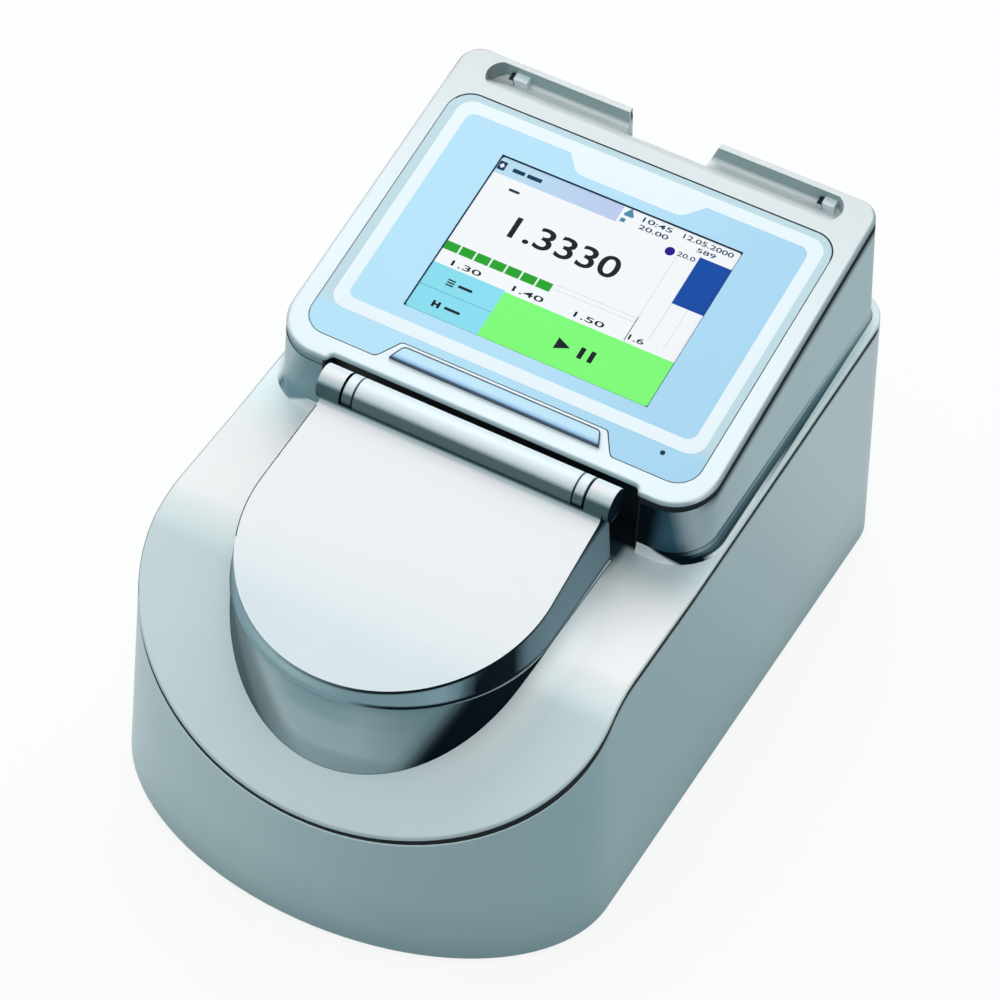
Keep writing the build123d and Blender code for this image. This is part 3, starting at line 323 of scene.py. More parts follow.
# One moulded, painted or metal finish: colour, gloss and fine relief vary by noise
def surface(name, ownLook):
    look = {**plainLook, **ownLook}
    material = bpy.data.materials.new(name)
    tree = nodeTree(material)
    links = tree.links
    place = newNode(tree, "ShaderNodeTexCoord")
    stretch = newNode(tree, "ShaderNodeMapping")
    stretch.inputs["Scale"].default_value = look["stretch"]
    cloud = newNode(tree, "ShaderNodeTexNoise")
    cloud.inputs["Scale"].default_value = look["cloudScale"]
    cloud.inputs["Detail"].default_value = look["cloudDetail"]
    grain = newNode(tree, "ShaderNodeTexNoise")
    grain.inputs["Scale"].default_value = look["grainScale"]
    grain.inputs["Detail"].default_value = look["grainDetail"]
    blend = newNode(tree, "ShaderNodeMath", operation="MULTIPLY_ADD")
    blend.inputs[1].default_value = look["grainShare"]
    tint = newNode(tree, "ShaderNodeMix", data_type="RGBA")
    tint.inputs[6].default_value = (*look["darker"], 1)
    tint.inputs[7].default_value = (*look["lighter"], 1)
    gloss = newNode(tree, "ShaderNodeMapRange")
    gloss.inputs["To Min"].default_value = look["roughness"][0]
    gloss.inputs["To Max"].default_value = look["roughness"][1]
    relief = newNode(tree, "ShaderNodeBump")
    relief.inputs["Strength"].default_value = look["bump"]
    relief.inputs["Distance"].default_value = look["bumpDepth"]
    shader = newNode(tree, "ShaderNodeBsdfPrincipled")
    shader.inputs["Metallic"].default_value = look["metallic"]
    shader.inputs["IOR"].default_value = look["ior"]
    shader.inputs["Specular IOR Level"].default_value = look["specular"]
    shader.inputs["Coat Weight"].default_value = look["coat"]
    shader.inputs["Coat Roughness"].default_value = look["coatRoughness"]
    shader.inputs["Transmission Weight"].default_value = look["clear"]
    out = newNode(tree, "ShaderNodeOutputMaterial")
    links.new(place.outputs["Object"], stretch.inputs["Vector"])
    links.new(stretch.outputs[0], cloud.inputs["Vector"])
    links.new(stretch.outputs[0], grain.inputs["Vector"])
    links.new(grain.outputs[0], blend.inputs[0])
    links.new(cloud.outputs[0], blend.inputs[2])
    links.new(blend.outputs[0], tint.inputs[0])
    links.new(cloud.outputs[0], gloss.inputs["Value"])
    links.new(grain.outputs[0], relief.inputs["Height"])
    colour = tint.outputs[2]
    for shade in look["shades"]:
        colour = addShade(tree, place, colour, shade)
    links.new(colour, shader.inputs["Base Color"])
    if look["glow"]:  # a lit display
        shader.inputs["Emission Strength"].default_value = look["glow"]
        links.new(colour, shader.inputs["Emission Color"])
    links.new(gloss.outputs[0], shader.inputs["Roughness"])
    links.new(relief.outputs[0], shader.inputs["Normal"])
    links.new(shader.outputs[0], out.inputs["Surface"])
    return material


# Direction of a node's flat top, and how far it lies from the origin along it
def topPlane(nodeName, pick):
    level = [f for f in nodes[nodeName].data.polygons if f.normal.z > 0.9]
    facet = max(level, key=pick)
    return tuple(facet.normal), facet.center.dot(facet.normal)


offFace, facePlane = topPlane("panel_sheet", lambda f: f.center.z)
offLid, lidPlane = topPlane("lid_shell", lambda f: f.area)
print("face lies", round(facePlane, 4), "m off the origin, lid", round(lidPlane, 4))

toRight, toRear, toFront, upward = (1, 0, 0), (0, 1, 0), (0, -1, 0), (0, 0, 1)

finishes = {
    "silver_paint": {
        "darker": (0.70, 0.77, 0.80), "lighter": (0.80, 0.87, 0.90),
        "roughness": (0.40, 0.48), "metallic": 0.10, "specular": 0.35,
        "grainScale": 1800, "grainShare": 0.5, "bump": 0.06,
    },
    "shadow_trim": {
        "darker": (0.70, 0.77, 0.80), "lighter": (0.80, 0.87, 0.90),
        "roughness": (0.40, 0.48), "metallic": 0.10, "specular": 0.2, "grainScale": 1800, "bump": 0.06,
    },
    "black_plastic": {
        "darker": (0.010, 0.011, 0.012), "lighter": (0.022, 0.024, 0.026),
        "roughness": (0.42, 0.55), "grainScale": 1600, "bump": 0.35,
    },
    "rubber": {
        "darker": (0.006, 0.010, 0.012), "lighter": (0.016, 0.020, 0.024),
        "roughness": (0.7, 0.85), "grainScale": 800, "bump": 0.3, "specular": 0.25,
    },
    "stainless": {
        "darker": (0.50, 0.51, 0.52), "lighter": (0.68, 0.69, 0.70),
        "roughness": (0.16, 0.28), "metallic": 1.0, "stretch": (1, 14, 14),
        "grainScale": 500, "bump": 0.05,
    },
    "aluminium": {
        "darker": (0.44, 0.46, 0.47), "lighter": (0.60, 0.62, 0.63),
        "roughness": (0.34, 0.46), "metallic": 0.9, "stretch": (10, 1, 10),
        "grainScale": 600, "bump": 0.08,
    },
    "optical_glass": {
        "darker": (0.90, 0.96, 1.0), "lighter": (0.97, 0.99, 1.0),
        "roughness": (0.01, 0.03), "clear": 1.0, "ior": 1.52, "bump": 0.0,
    },
    "screen_glass": {
        "darker": (0.010, 0.014, 0.030), "lighter": (0.016, 0.022, 0.045),
        "roughness": (0.08, 0.14), "coat": 0.6, "coatRoughness": 0.04, "bump": 0.0,
    },
    "circuit_board": {
        "darker": (0.010, 0.09, 0.045), "lighter": (0.02, 0.14, 0.07),
        "roughness": (0.35, 0.5), "grainScale": 320, "bump": 0.3,
    },
    "grey_plastic": {
        "darker": (0.46, 0.50, 0.52), "lighter": (0.58, 0.62, 0.64),
        "roughness": (0.35, 0.48), "grainScale": 1500, "bump": 0.2,
    },
    "panel_film": {
        "darker": (0.42, 0.70, 0.88), "lighter": (0.50, 0.77, 0.93),
        "roughness": (0.30, 0.40), "coat": 0.2, "coatRoughness": 0.12, "specular": 0.3,
        "cloudScale": 9, "grainScale": 2600, "grainShare": 0.15, "bump": 0.05,
        "shades": [
            # a little deeper to the right
            {"by": "place", "along": toRight, "deep": (0.385, 0.655, 0.855),
             "stops": [(0.0, 0), (0.06, 0.9), (0.10, 1)]},
            # paler outside the printed band, along the top and the two sides
            {"by": "place", "along": toRear, "deep": (0.53, 0.69, 0.75),
             "stops": [(0.1190, 0), (0.1192, 1), (0.13, 1)]},
            {"by": "place", "along": toRight, "deep": (0.53, 0.69, 0.75),
             "stops": [(-0.09, 1), (-0.0842, 1), (-0.084, 0), (0.084, 0), (0.0842, 1), (0.09, 1)],
             "only": [("place", toRear, [(0.004, 0), (0.012, 1), (0.13, 1)])]},
            # cut edges of the sheet, painted dark as shade in the joint
            {"by": "facing", "along": offFace, "deep": (0.002, 0.010, 0.020),
             "stops": [(0.0, 1), (0.6, 1), (0.7, 0), (1.0, 0)]},
        ],
    },
    "badge_blue": {
        "darker": (0.52, 0.77, 0.92), "lighter": (0.60, 0.83, 0.95),
        "roughness": (0.20, 0.28), "specular": 0.3,
        "cloudScale": 12, "grainShare": 0.1, "bump": 0.0,
        "shades": [
            # deeper towards the front edge, and painted shade nearly black at the edge itself
            {"by": "place", "along": toRear, "deep": (0.16, 0.38, 0.68),
             "stops": [(-0.0068, 1), (-0.0060, 0.6), (-0.0050, 0.15), (-0.0042, 0)]},
            {"by": "place", "along": toRear, "deep": (0.002, 0.012, 0.030),
             "stops": [(-0.0077, 1), (-0.0071, 0.9), (-0.0064, 0)]},
            # its cut edges, painted dark as shade
            {"by": "facing", "along": offFace, "deep": (0.010, 0.060, 0.120),
             "stops": [(-0.2, 1), (0.5, 1), (0.8, 0)]},
        ],
    },
}

# Shades of single nodes; each lays its colour over the ones before it. Several stand for shadow,
# gloss and reflection, and stay fixed to the part in any light. Stops along a direction are in metres
# where they go by place, and run from -1 to 1 where they go by facing.
nearBlack = (0.002, 0.008, 0.014)
white = (0.96, 0.98, 0.98)

# Limits that several shades share
walls = ("facing", upward, [(-0.6, 0), (-0.35, 1), (0.35, 1), (0.75, 0)])
fromFront = ("facing", toFront, [(0.1, 0), (0.4, 1), (1.0, 1)])
forward = ("facing", toFront, [(0.0, 0), (0.3, 1), (1.0, 1)])
rightSide = ("facing", toRight, [(0.5, 0), (0.9, 1), (1.0, 1)])
nearHinge = ("place", toRear, [(-0.03, 1), (-0.002, 1), (0.015, 0)])
knuckle = ("place", upward, [(0.150, 0), (0.154, 1), (0.17, 1)])
aroundSheet = [
    ("place", toRear, [(-0.0098, 0), (-0.0094, 1), (0.1262, 1), (0.1268, 0)]),
    ("place", toRight, [(-0.0925, 0), (-0.0922, 1), (0.0922, 1), (0.0925, 0)]),
]

# painted shade on the dark half of the barrel, below its highlight
barrelShade = {
    "by": "facing", "along": upward, "deep": (0.085, 0.145, 0.155),
    "stops": [(-1.0, 1), (0.50, 1), (0.70, 0.2), (1.0, 0)],
    "only": [forward],
}
# painted shade on the end faces, in the joints at the barrel's ends
jointShade = {
    "by": "facing", "along": toRight, "deep": nearBlack,
    "stops": [(-1.0, 1), (-0.8, 1), (-0.6, 0), (0.6, 0), (0.8, 1), (1.0, 1)],
}

# Painted light and shade on the head's front wall, either side of the hinge
headLeft = [
    # painted light in a pale run along the corner, then the wall, then painted shade at its darker foot
    {"by": "place", "along": (1, 0, -0.375), "deep": (0.95, 1.0, 1.0),
     "stops": [(-0.156, 1), (-0.1506, 1), (-0.1488, 0.6), (-0.1468, 0)], "only": [nearHinge]},
    {"by": "place", "along": (1, 0, -0.375), "deep": (0.37, 0.53, 0.58),
     "stops": [(-0.1475, 0), (-0.1443, 0.6), (-0.140, 1), (-0.112, 1), (-0.110, 0)], "only": [fromFront]},
    {"by": "place", "along": upward, "deep": (0.24, 0.38, 0.43),
     "stops": [(0.131, 1), (0.134, 0.8), (0.138, 0.25), (0.142, 0)],
     "only": [fromFront, ("place", toRight, [(-0.098, 0), (-0.093, 1), (-0.060, 1), (-0.058, 0)])]},
]
headRight = [
    # painted shadow on the wall, painted shade at its foot, and painted black shade beside the hinge
    {"by": "place", "along": (1, 0, 0.2), "deep": (0.060, 0.150, 0.210),
     "stops": [(0.085, 0), (0.088, 1), (0.1185, 1), (0.1212, 0.72), (0.1235, 0.35), (0.1265, 0.05),
               (0.128, 0)],
     "only": [fromFront]},
    {"by": "place", "along": upward, "deep": (0.010, 0.035, 0.052),
     "stops": [(0.132, 0.8), (0.136, 0.45), (0.140, 0.1), (0.143, 0)],
     "only": [fromFront, ("place", toRight, [(0.082, 0), (0.086, 1), (0.094, 1), (0.098, 0)])]},
    {"by": "place", "along": (1, 0, -0.08), "deep": nearBlack,
     "stops": [(0.040, 0), (0.042, 1), (0.0685, 1), (0.0705, 0.75), (0.0730, 0.3), (0.0765, 0)],
     "only": [nearHinge, ("facing", toRight, [(-1, 1), (0.6, 1), (0.7, 0)])]},
]

nodeShades = {
    "base_shell": [
        # painted shade, deeper from the left round to the right
        {"by": "facing", "along": toRight, "deep": (0.42, 0.59, 0.62),
         "stops": [(-0.85, 0), (-0.68, 0.11), (-0.5, 0.2), (-0.1, 0.34), (0.0, 0.45), (0.3, 0.63),
                   (0.5, 0.70), (0.8, 0.86), (1.0, 1)]},
        # painted light, paler towards the upper rear of the right side
        {"by": "place", "along": (0, 1, 0.65), "deep": (0.74, 0.83, 0.85),
         "stops": [(0.01, 0), (0.05, 0.12), (0.07, 0.34), (0.10, 0.45), (0.13, 0.75), (0.16, 1),
                   (0.25, 1)],
         "only": [rightSide]},
        # painted shade along a darker foot
        {"by": "place", "along": upward, "deep": (0.30, 0.45, 0.47),
         "stops": [(0.0, 0.85), (0.005, 0.65), (0.015, 0.25), (0.035, 0)],
         "only": [("facing", toRight, [(-0.9, 0), (-0.4, 0.8), (0.2, 1), (1.0, 1)])]},
    ],
    "deck_cover": [
        # a touch warmer on the flats
        {"by": "place", "along": toRear, "deep": (0.82, 0.79, 0.78),
         "stops": [(-0.10, 0), (-0.085, 0.8), (-0.04, 0.8), (-0.02, 0)]},
        # a glint along the foot of the stage
        {"by": "from", "along": (0, -0.084, 0), "deep": white,
         "stops": [(0.068, 1), (0.074, 1), (0.084, 0)],
         "only": [("place", toRight, [(0.030, 0), (0.050, 1), (0.1, 1)]),
                  ("place", toRear, [(-0.15, 0), (-0.12, 0.8), (-0.095, 1), (-0.05, 1), (-0.03, 0)])]},
        # shadow that the head casts beside the hinge
        {"by": "place", "along": toRight, "deep": (0.02, 0.055, 0.075),
         "stops": [(0.060, 1), (0.0690, 1), (0.0725, 0.32), (0.080, 0.18), (0.100, 0.04), (0.106, 0)],
         "only": [("place", toRear, [(-0.040, 0), (-0.031, 0.5), (-0.0255, 1), (-0.01, 1)]),
                  ("place", toRight, [(0.0, 0), (0.055, 1), (0.11, 1)])]},
        # painted shade along its left edge
        {"by": "facing", "along": toRight, "deep": (0.16, 0.20, 0.21),
         "stops": [(-1, 1), (-0.5, 0.9), (-0.25, 0)],
         "only": [("place", toRight, [(-0.115, 1), (-0.0995, 1), (-0.099, 0)])]},
        # shadowed room behind the hinge
        {"by": "place", "along": toRear, "deep": nearBlack,
         "stops": [(-0.0200, 0), (-0.0175, 1), (0.010, 1), (0.020, 0)],
         "only": [("place", toRight, [(-0.0765, 0), (-0.075, 1), (0.0775, 1), (0.079, 0)])]},
    ],
    "stage_housing": [
        # painted light, paler on the walls
        {"by": "facing", "along": toRight, "deep": (0.92, 0.99, 1.0),
         "stops": [(-1, 1), (1, 1)], "only": [walls]},
        # painted shade, darker towards the lower left
        {"by": "both", "along": (toRight, (0, 0, 9)), "deep": (0.14, 0.20, 0.22),
         "stops": [(0.0, 1), (0.35, 0.99), (0.42, 0.8), (0.53, 0.66), (0.60, 0.5), (0.67, 0.17),
                   (0.72, 0)],
         "only": [walls]},
        # painted shade along its left edge
        {"by": "facing", "along": toRight, "deep": (0.02, 0.05, 0.06),
         "stops": [(-1.0, 1), (-0.96, 0.9), (-0.88, 0.35), (-0.80, 0)], "only": [walls]},
        # the lid's reflection
        {"by": "place", "along": upward, "deep": (0.70, 0.84, 0.87),
         "stops": [(0.110, 0), (0.115, 1), (0.13, 1)],
         "only": [walls, ("facing", toRight, [(-0.30, 0), (-0.14, 1), (0.12, 1), (0.30, 0.2), (0.5, 0.4),
                                              (0.6, 0)])]},
        # the deck's reflection
        {"by": "place", "along": upward, "deep": (0.50, 0.62, 0.65),
         "stops": [(0.085, 1), (0.091, 0.8), (0.096, 0)],
         "only": [walls, ("facing", toRight, [(-0.35, 0), (-0.2, 0.6), (0.6, 1)])]},
        # painted shade, black to the right, in a slanting edge
        {"by": "facing", "along": toRight, "deep": (0.45, 0.58, 0.62),
         "stops": [(0.25, 0), (0.60, 1), (1.0, 1)], "only": [walls]},
        {"by": "both", "along": (toRight, (0, 0, -6)), "deep": nearBlack,
         "stops": [(-0.12, 0), (-0.06, 0.25), (-0.02, 0.65), (0.02, 0.94), (0.05, 1), (0.5, 1)],
         "only": [walls]},
        # painted shade on the small bevel under the lid
        {"by": "facing", "along": toRight, "deep": nearBlack,
         "stops": [(0.08, 0), (0.20, 1), (0.50, 1), (0.56, 0)],
         "only": [("facing", upward, [(0.5, 0), (0.6, 1), (0.85, 1), (0.95, 0)]),
                  ("place", toRear, [(-0.16, 1), (-0.09, 1), (-0.085, 0)])]},
    ],
    "lid_shell": [
        # painted light and shade on the top: near white, deeper at the front
        {"by": "place", "along": toRear, "deep": (0.96, 0.93, 0.93),
         "stops": [(-0.152, 0.1), (-0.128, 0.25), (-0.115, 0.7), (-0.100, 0.95), (-0.085, 1), (0.0, 1)],
         "only": [("facing", offLid, [(0.9, 0), (0.99, 1), (1.0, 1)])]},
        # painted shade on its wall, darker at the right
        {"by": "facing", "along": toRight, "deep": (0.50, 0.67, 0.72),
         "stops": [(-1.0, 1), (0.6, 1), (0.68, 0.8), (0.80, 1), (1.0, 1)], "only": [walls]},
        {"by": "facing", "along": toRight, "deep": (0.22, 0.32, 0.37),
         "stops": [(0.70, 0), (0.80, 0.9), (0.84, 1), (1.0, 1)], "only": [walls]},
        # painted shade, black at the front right corner, in a slanting edge
        {"by": "both", "along": (toRight, (0, 0, -6)), "deep": nearBlack,
         "stops": [(-0.22, 0), (-0.08, 0.2), (-0.02, 0.85), (0.02, 1), (0.3, 1)],
         "only": [walls, ("facing", toRight, [(0.75, 0), (0.83, 1), (0.94, 1), (0.97, 0.1), (0.985, 0)])]},
        # painted shade, darker towards the lower left
        {"by": "both", "along": (toRight, (0, 0, 12)), "deep": (0.12, 0.18, 0.20),
         "stops": [(0.60, 1), (0.75, 0.85), (0.92, 0.1), (0.98, 0)],
         "only": [walls, ("facing", toRight, [(-1, 1), (-0.75, 0.9), (-0.5, 0)])]},
        # a glint under the top's edge, left of the middle
        {"by": "place", "along": offLid, "deep": (0.74, 0.92, 0.95),
         "stops": [(lidPlane - 0.0060, 0), (lidPlane - 0.0042, 1), (lidPlane - 0.0010, 1)],
         "only": [walls, ("facing", toRight, [(-0.62, 0), (-0.40, 0.8), (-0.15, 1), (0.05, 0.6),
                                              (0.22, 0)])]},
        # painted shade in a dark line under the top's edge
        {"by": "place", "along": offLid, "deep": nearBlack,
         "stops": [(lidPlane - 0.0019, 0), (lidPlane - 0.0012, 1), (lidPlane + 0.001, 1)],
         "only": [("facing", offLid, [(-1, 1), (0.85, 1), (0.96, 0)]),
                  ("facing", toRight, [(-1, 0.8), (-0.92, 0.6), (-0.85, 0.15), (-0.35, 0.15),
                                       (-0.15, 0.45), (0.0, 0.6), (0.3, 0.95), (0.6, 1), (0.9, 1),
                                       (1.0, 0.8)]),
                  ("place", toRear, [(-0.16, 1), (-0.038, 1), (-0.036, 0)])]},
        # painted shade in the joint between the lid and the stage
        {"by": "place", "along": upward, "deep": nearBlack,
         "stops": [(0.1285, 1), (0.1302, 1), (0.1310, 0)],
         "only": [("facing", toRight, [(-1, 0.7), (-0.6, 0.4), (-0.4, 0), (0.20, 0), (0.35, 0.8), (0.45, 1),
                                       (0.95, 1), (1.0, 0.4)])]},
        # the knuckles get the barrel's painted shade
        {**barrelShade, "only": [forward, knuckle]},
        {**jointShade, "only": [knuckle]},
    ],
    "hinge_barrel": [barrelShade, jointShade],
    "hinge_collars": [
        barrelShade, jointShade,
        # painted shade under the collars
        {"by": "facing", "along": upward, "deep": nearBlack, "stops": [(-1.0, 1), (-0.05, 1), (0.12, 0)],
         "only": [forward]},
    ],
    "foot_band": [
        # painted shade, darker as it curves up, darkest where it lies flat
        {"by": "facing", "along": upward, "deep": (0.14, 0.24, 0.27),
         "stops": [(0.12, 0), (0.34, 1), (1, 1)]},
        {"by": "facing", "along": upward, "deep": (0.045, 0.080, 0.090),
         "stops": [(0.4, 0), (0.75, 1), (1, 1)]},
    ] + headLeft + headRight + [
        # painted shade, black under the front right corner
        {"by": "both", "along": ((0, 0, -0.015), toRear), "deep": nearBlack,
         "stops": [(-0.03, 1), (-0.0185, 1), (-0.0155, 0.5), (-0.012, 0)],
         "only": [("place", toRight, [(0.0, 0), (0.070, 1), (0.11, 1)])]},
        # painted highlight where the outermost rim runs out into the deck: at the front right, along the
        # right, on the left
        {"by": "place", "along": (0.4, 0, 1), "deep": white,
         "stops": [(0.15, 1), (0.1653, 1), (0.1667, 0)],
         "only": [("place", toRight, [(0.0, 0), (0.060, 1), (0.11, 1)]),
                  ("place", toRear, [(-0.02, 1), (-0.012, 1), (-0.008, 0)])]},
        {"by": "facing", "along": upward, "deep": white,
         "stops": [(0.76, 0), (0.82, 1), (0.93, 1), (0.96, 0)],
         "only": [("place", toRight, [(0.080, 0), (0.090, 1), (0.11, 1)]),
                  ("place", toRear, [(-0.015, 0), (-0.008, 1), (0.03, 1), (0.055, 0.4), (0.07, 0)])]},
        {"by": "place", "along": (-0.58, 0, 1), "deep": white,
         "stops": [(0.16, 1), (0.1803, 1), (0.1818, 0)],
         "only": [nearHinge,
                  ("place", toRight, [(-0.11, 0.3), (-0.100, 0.4), (-0.094, 1), (-0.060, 1), (-0.05, 0)])]},
    ],
    "head_shell": [
        # painted light and shade on the right side: paler, and deeper at its front end
        {"by": "facing", "along": toRight, "deep": (0.92, 0.99, 1.0),
         "stops": [(0.3, 0), (0.9, 1), (1.0, 1)]},
        {"by": "place", "along": toRear, "deep": (0.62, 0.68, 0.73),
         "stops": [(-0.02, 1), (-0.006, 0.8), (0.005, 0.35), (0.02, 0.15), (0.04, 0)],
         "only": [("facing", toRight, [(0.3, 0), (0.9, 1), (1.0, 1)])]},
        # painted shade in a soft dark run under the cover on the right
        {"by": "place", "along": offFace, "deep": (0.004, 0.015, 0.020),
         "stops": [(0.1510, 0), (0.1530, 0.12), (0.1545, 0.36), (0.1556, 0.60), (0.1566, 0.80),
                   (0.1578, 0.95), (0.1590, 1), (0.165, 1)],
         "only": [rightSide, ("place", toRear, [(-0.012, 0), (-0.002, 1), (0.2, 1)])]},
    ] + headLeft + headRight + [
        # painted shade on the ledge under the cover's gasket
        {"by": "facing", "along": upward, "deep": (0.02, 0.04, 0.05),
         "stops": [(0.5, 0), (0.8, 1), (1.0, 1)]},
    ],
    "hinge_cradle": [
        # painted shade, dark in its right half
        {"by": "place", "along": toRight, "deep": nearBlack, "stops": [(0.0, 0), (0.05, 1), (0.1, 1)]},
    ],
    "cover_gasket": [
        # painted light, pale on the left
        {"by": "place", "along": toRight, "deep": (0.37, 0.52, 0.56),
         "stops": [(-0.105, 1), (-0.070, 1), (-0.060, 0)]},
    ],
    "head_cover": [
        # painted shade, greyer towards the back
        {"by": "place", "along": toRear, "deep": (0.66, 0.68, 0.68),
         "stops": [(0.05, 0), (0.11, 0.6), (0.13, 0.9), (0.15, 1)]},
        # painted shade on the pen tray's back wall and its ends
        {"by": "facing", "along": upward, "deep": (0.34, 0.46, 0.47),
         "stops": [(-0.3, 1), (-0.1, 0.9), (0.0, 0.5), (0.2, 0.25), (0.5, 0)],
         "only": [("facing", toFront, [(0.3, 0), (0.6, 1), (1, 1)]),
                  ("place", toRear, [(0.128, 0), (0.134, 1), (0.15, 1)])]},
        {"by": "place", "along": toRight, "deep": (0.012, 0.026, 0.032),
         "stops": [(-0.092, 1), (-0.0865, 1), (-0.084, 0.4), (-0.078, 0)],
         "only": [("place", toRear, [(0.128, 0), (0.132, 1), (0.15, 1)]),
                  ("facing", upward, [(-1, 1), (0.88, 1), (0.94, 0)])]},
        # painted shade on the right edge of the cover
        {"by": "facing", "along": toRight, "deep": (0.34, 0.42, 0.45),
         "stops": [(0.1, 0), (0.5, 1), (1.0, 1)],
         "only": [("place", toRight, [(0.094, 0), (0.096, 1), (0.11, 1)]),
                  ("place", toRear, [(-0.01, 0), (0.0, 1), (0.2, 1)])]},
        # painted shade on its left and front edges
        {"by": "facing", "along": toRight, "deep": (0.62, 0.63, 0.64),
         "stops": [(-1, 1), (-0.5, 0.8), (-0.15, 0)],
         "only": [("place", toRight, [(-0.11, 1), (-0.097, 1), (-0.096, 0)])]},
        {"by": "facing", "along": toFront, "deep": (0.50, 0.62, 0.65),
         "stops": [(0.45, 0), (0.75, 1), (1, 1)],
         "only": [("place", toRear, [(-0.02, 1), (-0.0135, 1), (-0.011, 0)])]},
        # painted shade on the recess wall round the sheet
        {"by": "facing", "along": offFace, "deep": nearBlack,
         "stops": [(-0.2, 1), (0.5, 1), (0.6, 0), (1.0, 0)], "only": aroundSheet},
        # painted shade on the bottom of the recess, seen in the joint round the sheet
        {"by": "place", "along": offFace, "deep": nearBlack,
         "stops": [(facePlane - 0.0100, 0), (facePlane - 0.0095, 1), (facePlane - 0.0005, 1),
                   (facePlane - 0.0004, 0)],
         "only": [("facing", offFace, [(0.9, 0), (0.98, 1), (1.0, 1)])] + aroundSheet},
    ],
    "pen_stops": [
        # painted light, lighter grey on the fronts
        {"by": "facing", "along": toFront, "deep": (0.60, 0.68, 0.70),
         "stops": [(0.3, 0), (0.6, 1), (1.0, 1)]},
    ],
}

# What single nodes change of their finish; those that turn dark have little gloss
softLooks = {
    "stage_housing": {"specular": 0.02, "metallic": 0.0, "roughness": (0.5, 0.6)},
    "lid_shell": {"specular": 0.04, "metallic": 0.0, "roughness": (0.45, 0.55)},
    "head_shell": {"specular": 0.03, "metallic": 0.0, "roughness": (0.5, 0.6)},
    "foot_band": {"specular": 0.02, "metallic": 0.0, "roughness": (0.5, 0.6)},
    "deck_cover": {"specular": 0.25, "darker": (0.68, 0.77, 0.775), "lighter": (0.78, 0.87, 0.875)},
    "base_shell": {"darker": (0.81, 0.93, 0.93), "lighter": (0.89, 1.0, 1.0)},
}

# Nodes with a finish of their own
nodeLooks = {
    "status_lamp": {
        "darker": (0.004, 0.020, 0.035), "lighter": (0.010, 0.035, 0.055),
        "roughness": (0.35, 0.45), "specular": 0.1, "bump": 0.0,
    },
    "pen_rests": {
        "darker": (0.66, 0.74, 0.77), "lighter": (0.76, 0.83, 0.86),
        "roughness": (0.35, 0.48), "grainScale": 1500, "bump": 0.15,
    },
}

slotFinish = {slot: surface(slot, look) for slot, look in finishes.items()}
for part in frame["record"]["subparts"]:
    nodeName = part["node"]
    slot = part["material_slot"]
    if nodeName in nodeLooks:
        finish = surface(nodeName + "_finish", nodeLooks[nodeName])
    elif nodeName in nodeShades:
        look = {**finishes[slot], **softLooks.get(nodeName, {}), "shades": nodeShades[nodeName]}
        finish = surface(slot + "_" + nodeName, look)
    else:
        finish = slotFinish[slot]
    for holder in nodes[nodeName].material_slots:
        holder.material = finish
print("finishes assigned to", len(nodes), "nodes")


# Helpers for pieces drawn in millimetres on the sloping face

# Frame on the node's widest upward face: x to the right, y up the slope, z off the face
def faceFrame(nodeName):
    low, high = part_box(nodeName)
    facets = [f for f in nodes[nodeName].data.polygons if f.normal.z > 0.5]
    widest = max(facets, key=lambda f: f.area)
    off = widest.normal.normalized()
    across = Vector((1, 0, 0))
    upSlope = off.cross(across)
    centre = (low + high) / 2
    centre += off * (widest.center - centre).dot(off)
    turn = Matrix((across, upSlope, off)).transposed().to_4x4()
    return Matrix.Translation(centre) @ turn


# Scales a drawing to metres, puts it in place and makes it a piece of a body
def finishPiece(bm, name, place, material, body="housing"):
    bmesh.ops.scale(bm, verts=bm.verts, vec=(mm, mm, mm))
    bmesh.ops.transform(bm, matrix=place, verts=bm.verts)
    bmesh.ops.recalc_face_normals(bm, faces=bm.faces)
    mesh = bpy.data.meshes.new(name)
    bm.to_mesh(mesh)
    bm.free()
    mesh.materials.append(material)
    piece = bpy.data.objects.new(name, mesh)
    bpy.context.scene.collection.objects.link(piece)
    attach(piece, body)
    print("made", name)


# Gives flat faces a thickness, upwards
def thicken(bm, faces, thickness):
    raised = bmesh.ops.extrude_face_region(bm, geom=faces, use_keep_orig=True)["geom"]
    upper = [v for v in raised if isinstance(v, bmesh.types.BMVert)]
    bmesh.ops.translate(bm, verts=upper, vec=(0, 0, thickness))


def roundCorners(bm, verts, corner, segments=6):
    rounded = bmesh.ops.bevel(bm, geom=verts, affect="VERTICES", offset=corner, offset_type="OFFSET",
                              segments=segments, profile=0.5, material=-1)
    return list({f for v in rounded["verts"] for f in v.link_faces})


# Rounds a drawing's two lowest corners
def roundLowCorners(bm, corner):
    low = sorted(bm.verts, key=lambda v: v.co.y)[:2]
    roundCorners(bm, low, corner)


# A flat rectangle given by its left, right, bottom and top
def flatSheet(bm, box, base, corner=0.0):
    left, right, bottom, top = box
    verts = bmesh.ops.create_grid(bm, x_segments=1, y_segments=1, size=0.5)["verts"]
    bmesh.ops.scale(bm, verts=verts, vec=(right - left, top - bottom, 1))
    bmesh.ops.translate(bm, verts=verts, vec=((left + right) / 2, (bottom + top) / 2, base))
    if corner:
        return roundCorners(bm, verts, corner)
    return verts[0].link_faces[:]


# A flat shape given by its corners
def flatShape(bm, corners, base):
    verts = [bm.verts.new((x, y, base)) for x, y in corners]
    return [bm.faces.new(verts)]


# A flat block over a rectangle
def addTile(bm, box, base, thickness, corner=0.0):
    thicken(bm, flatSheet(bm, box, base, corner), thickness)


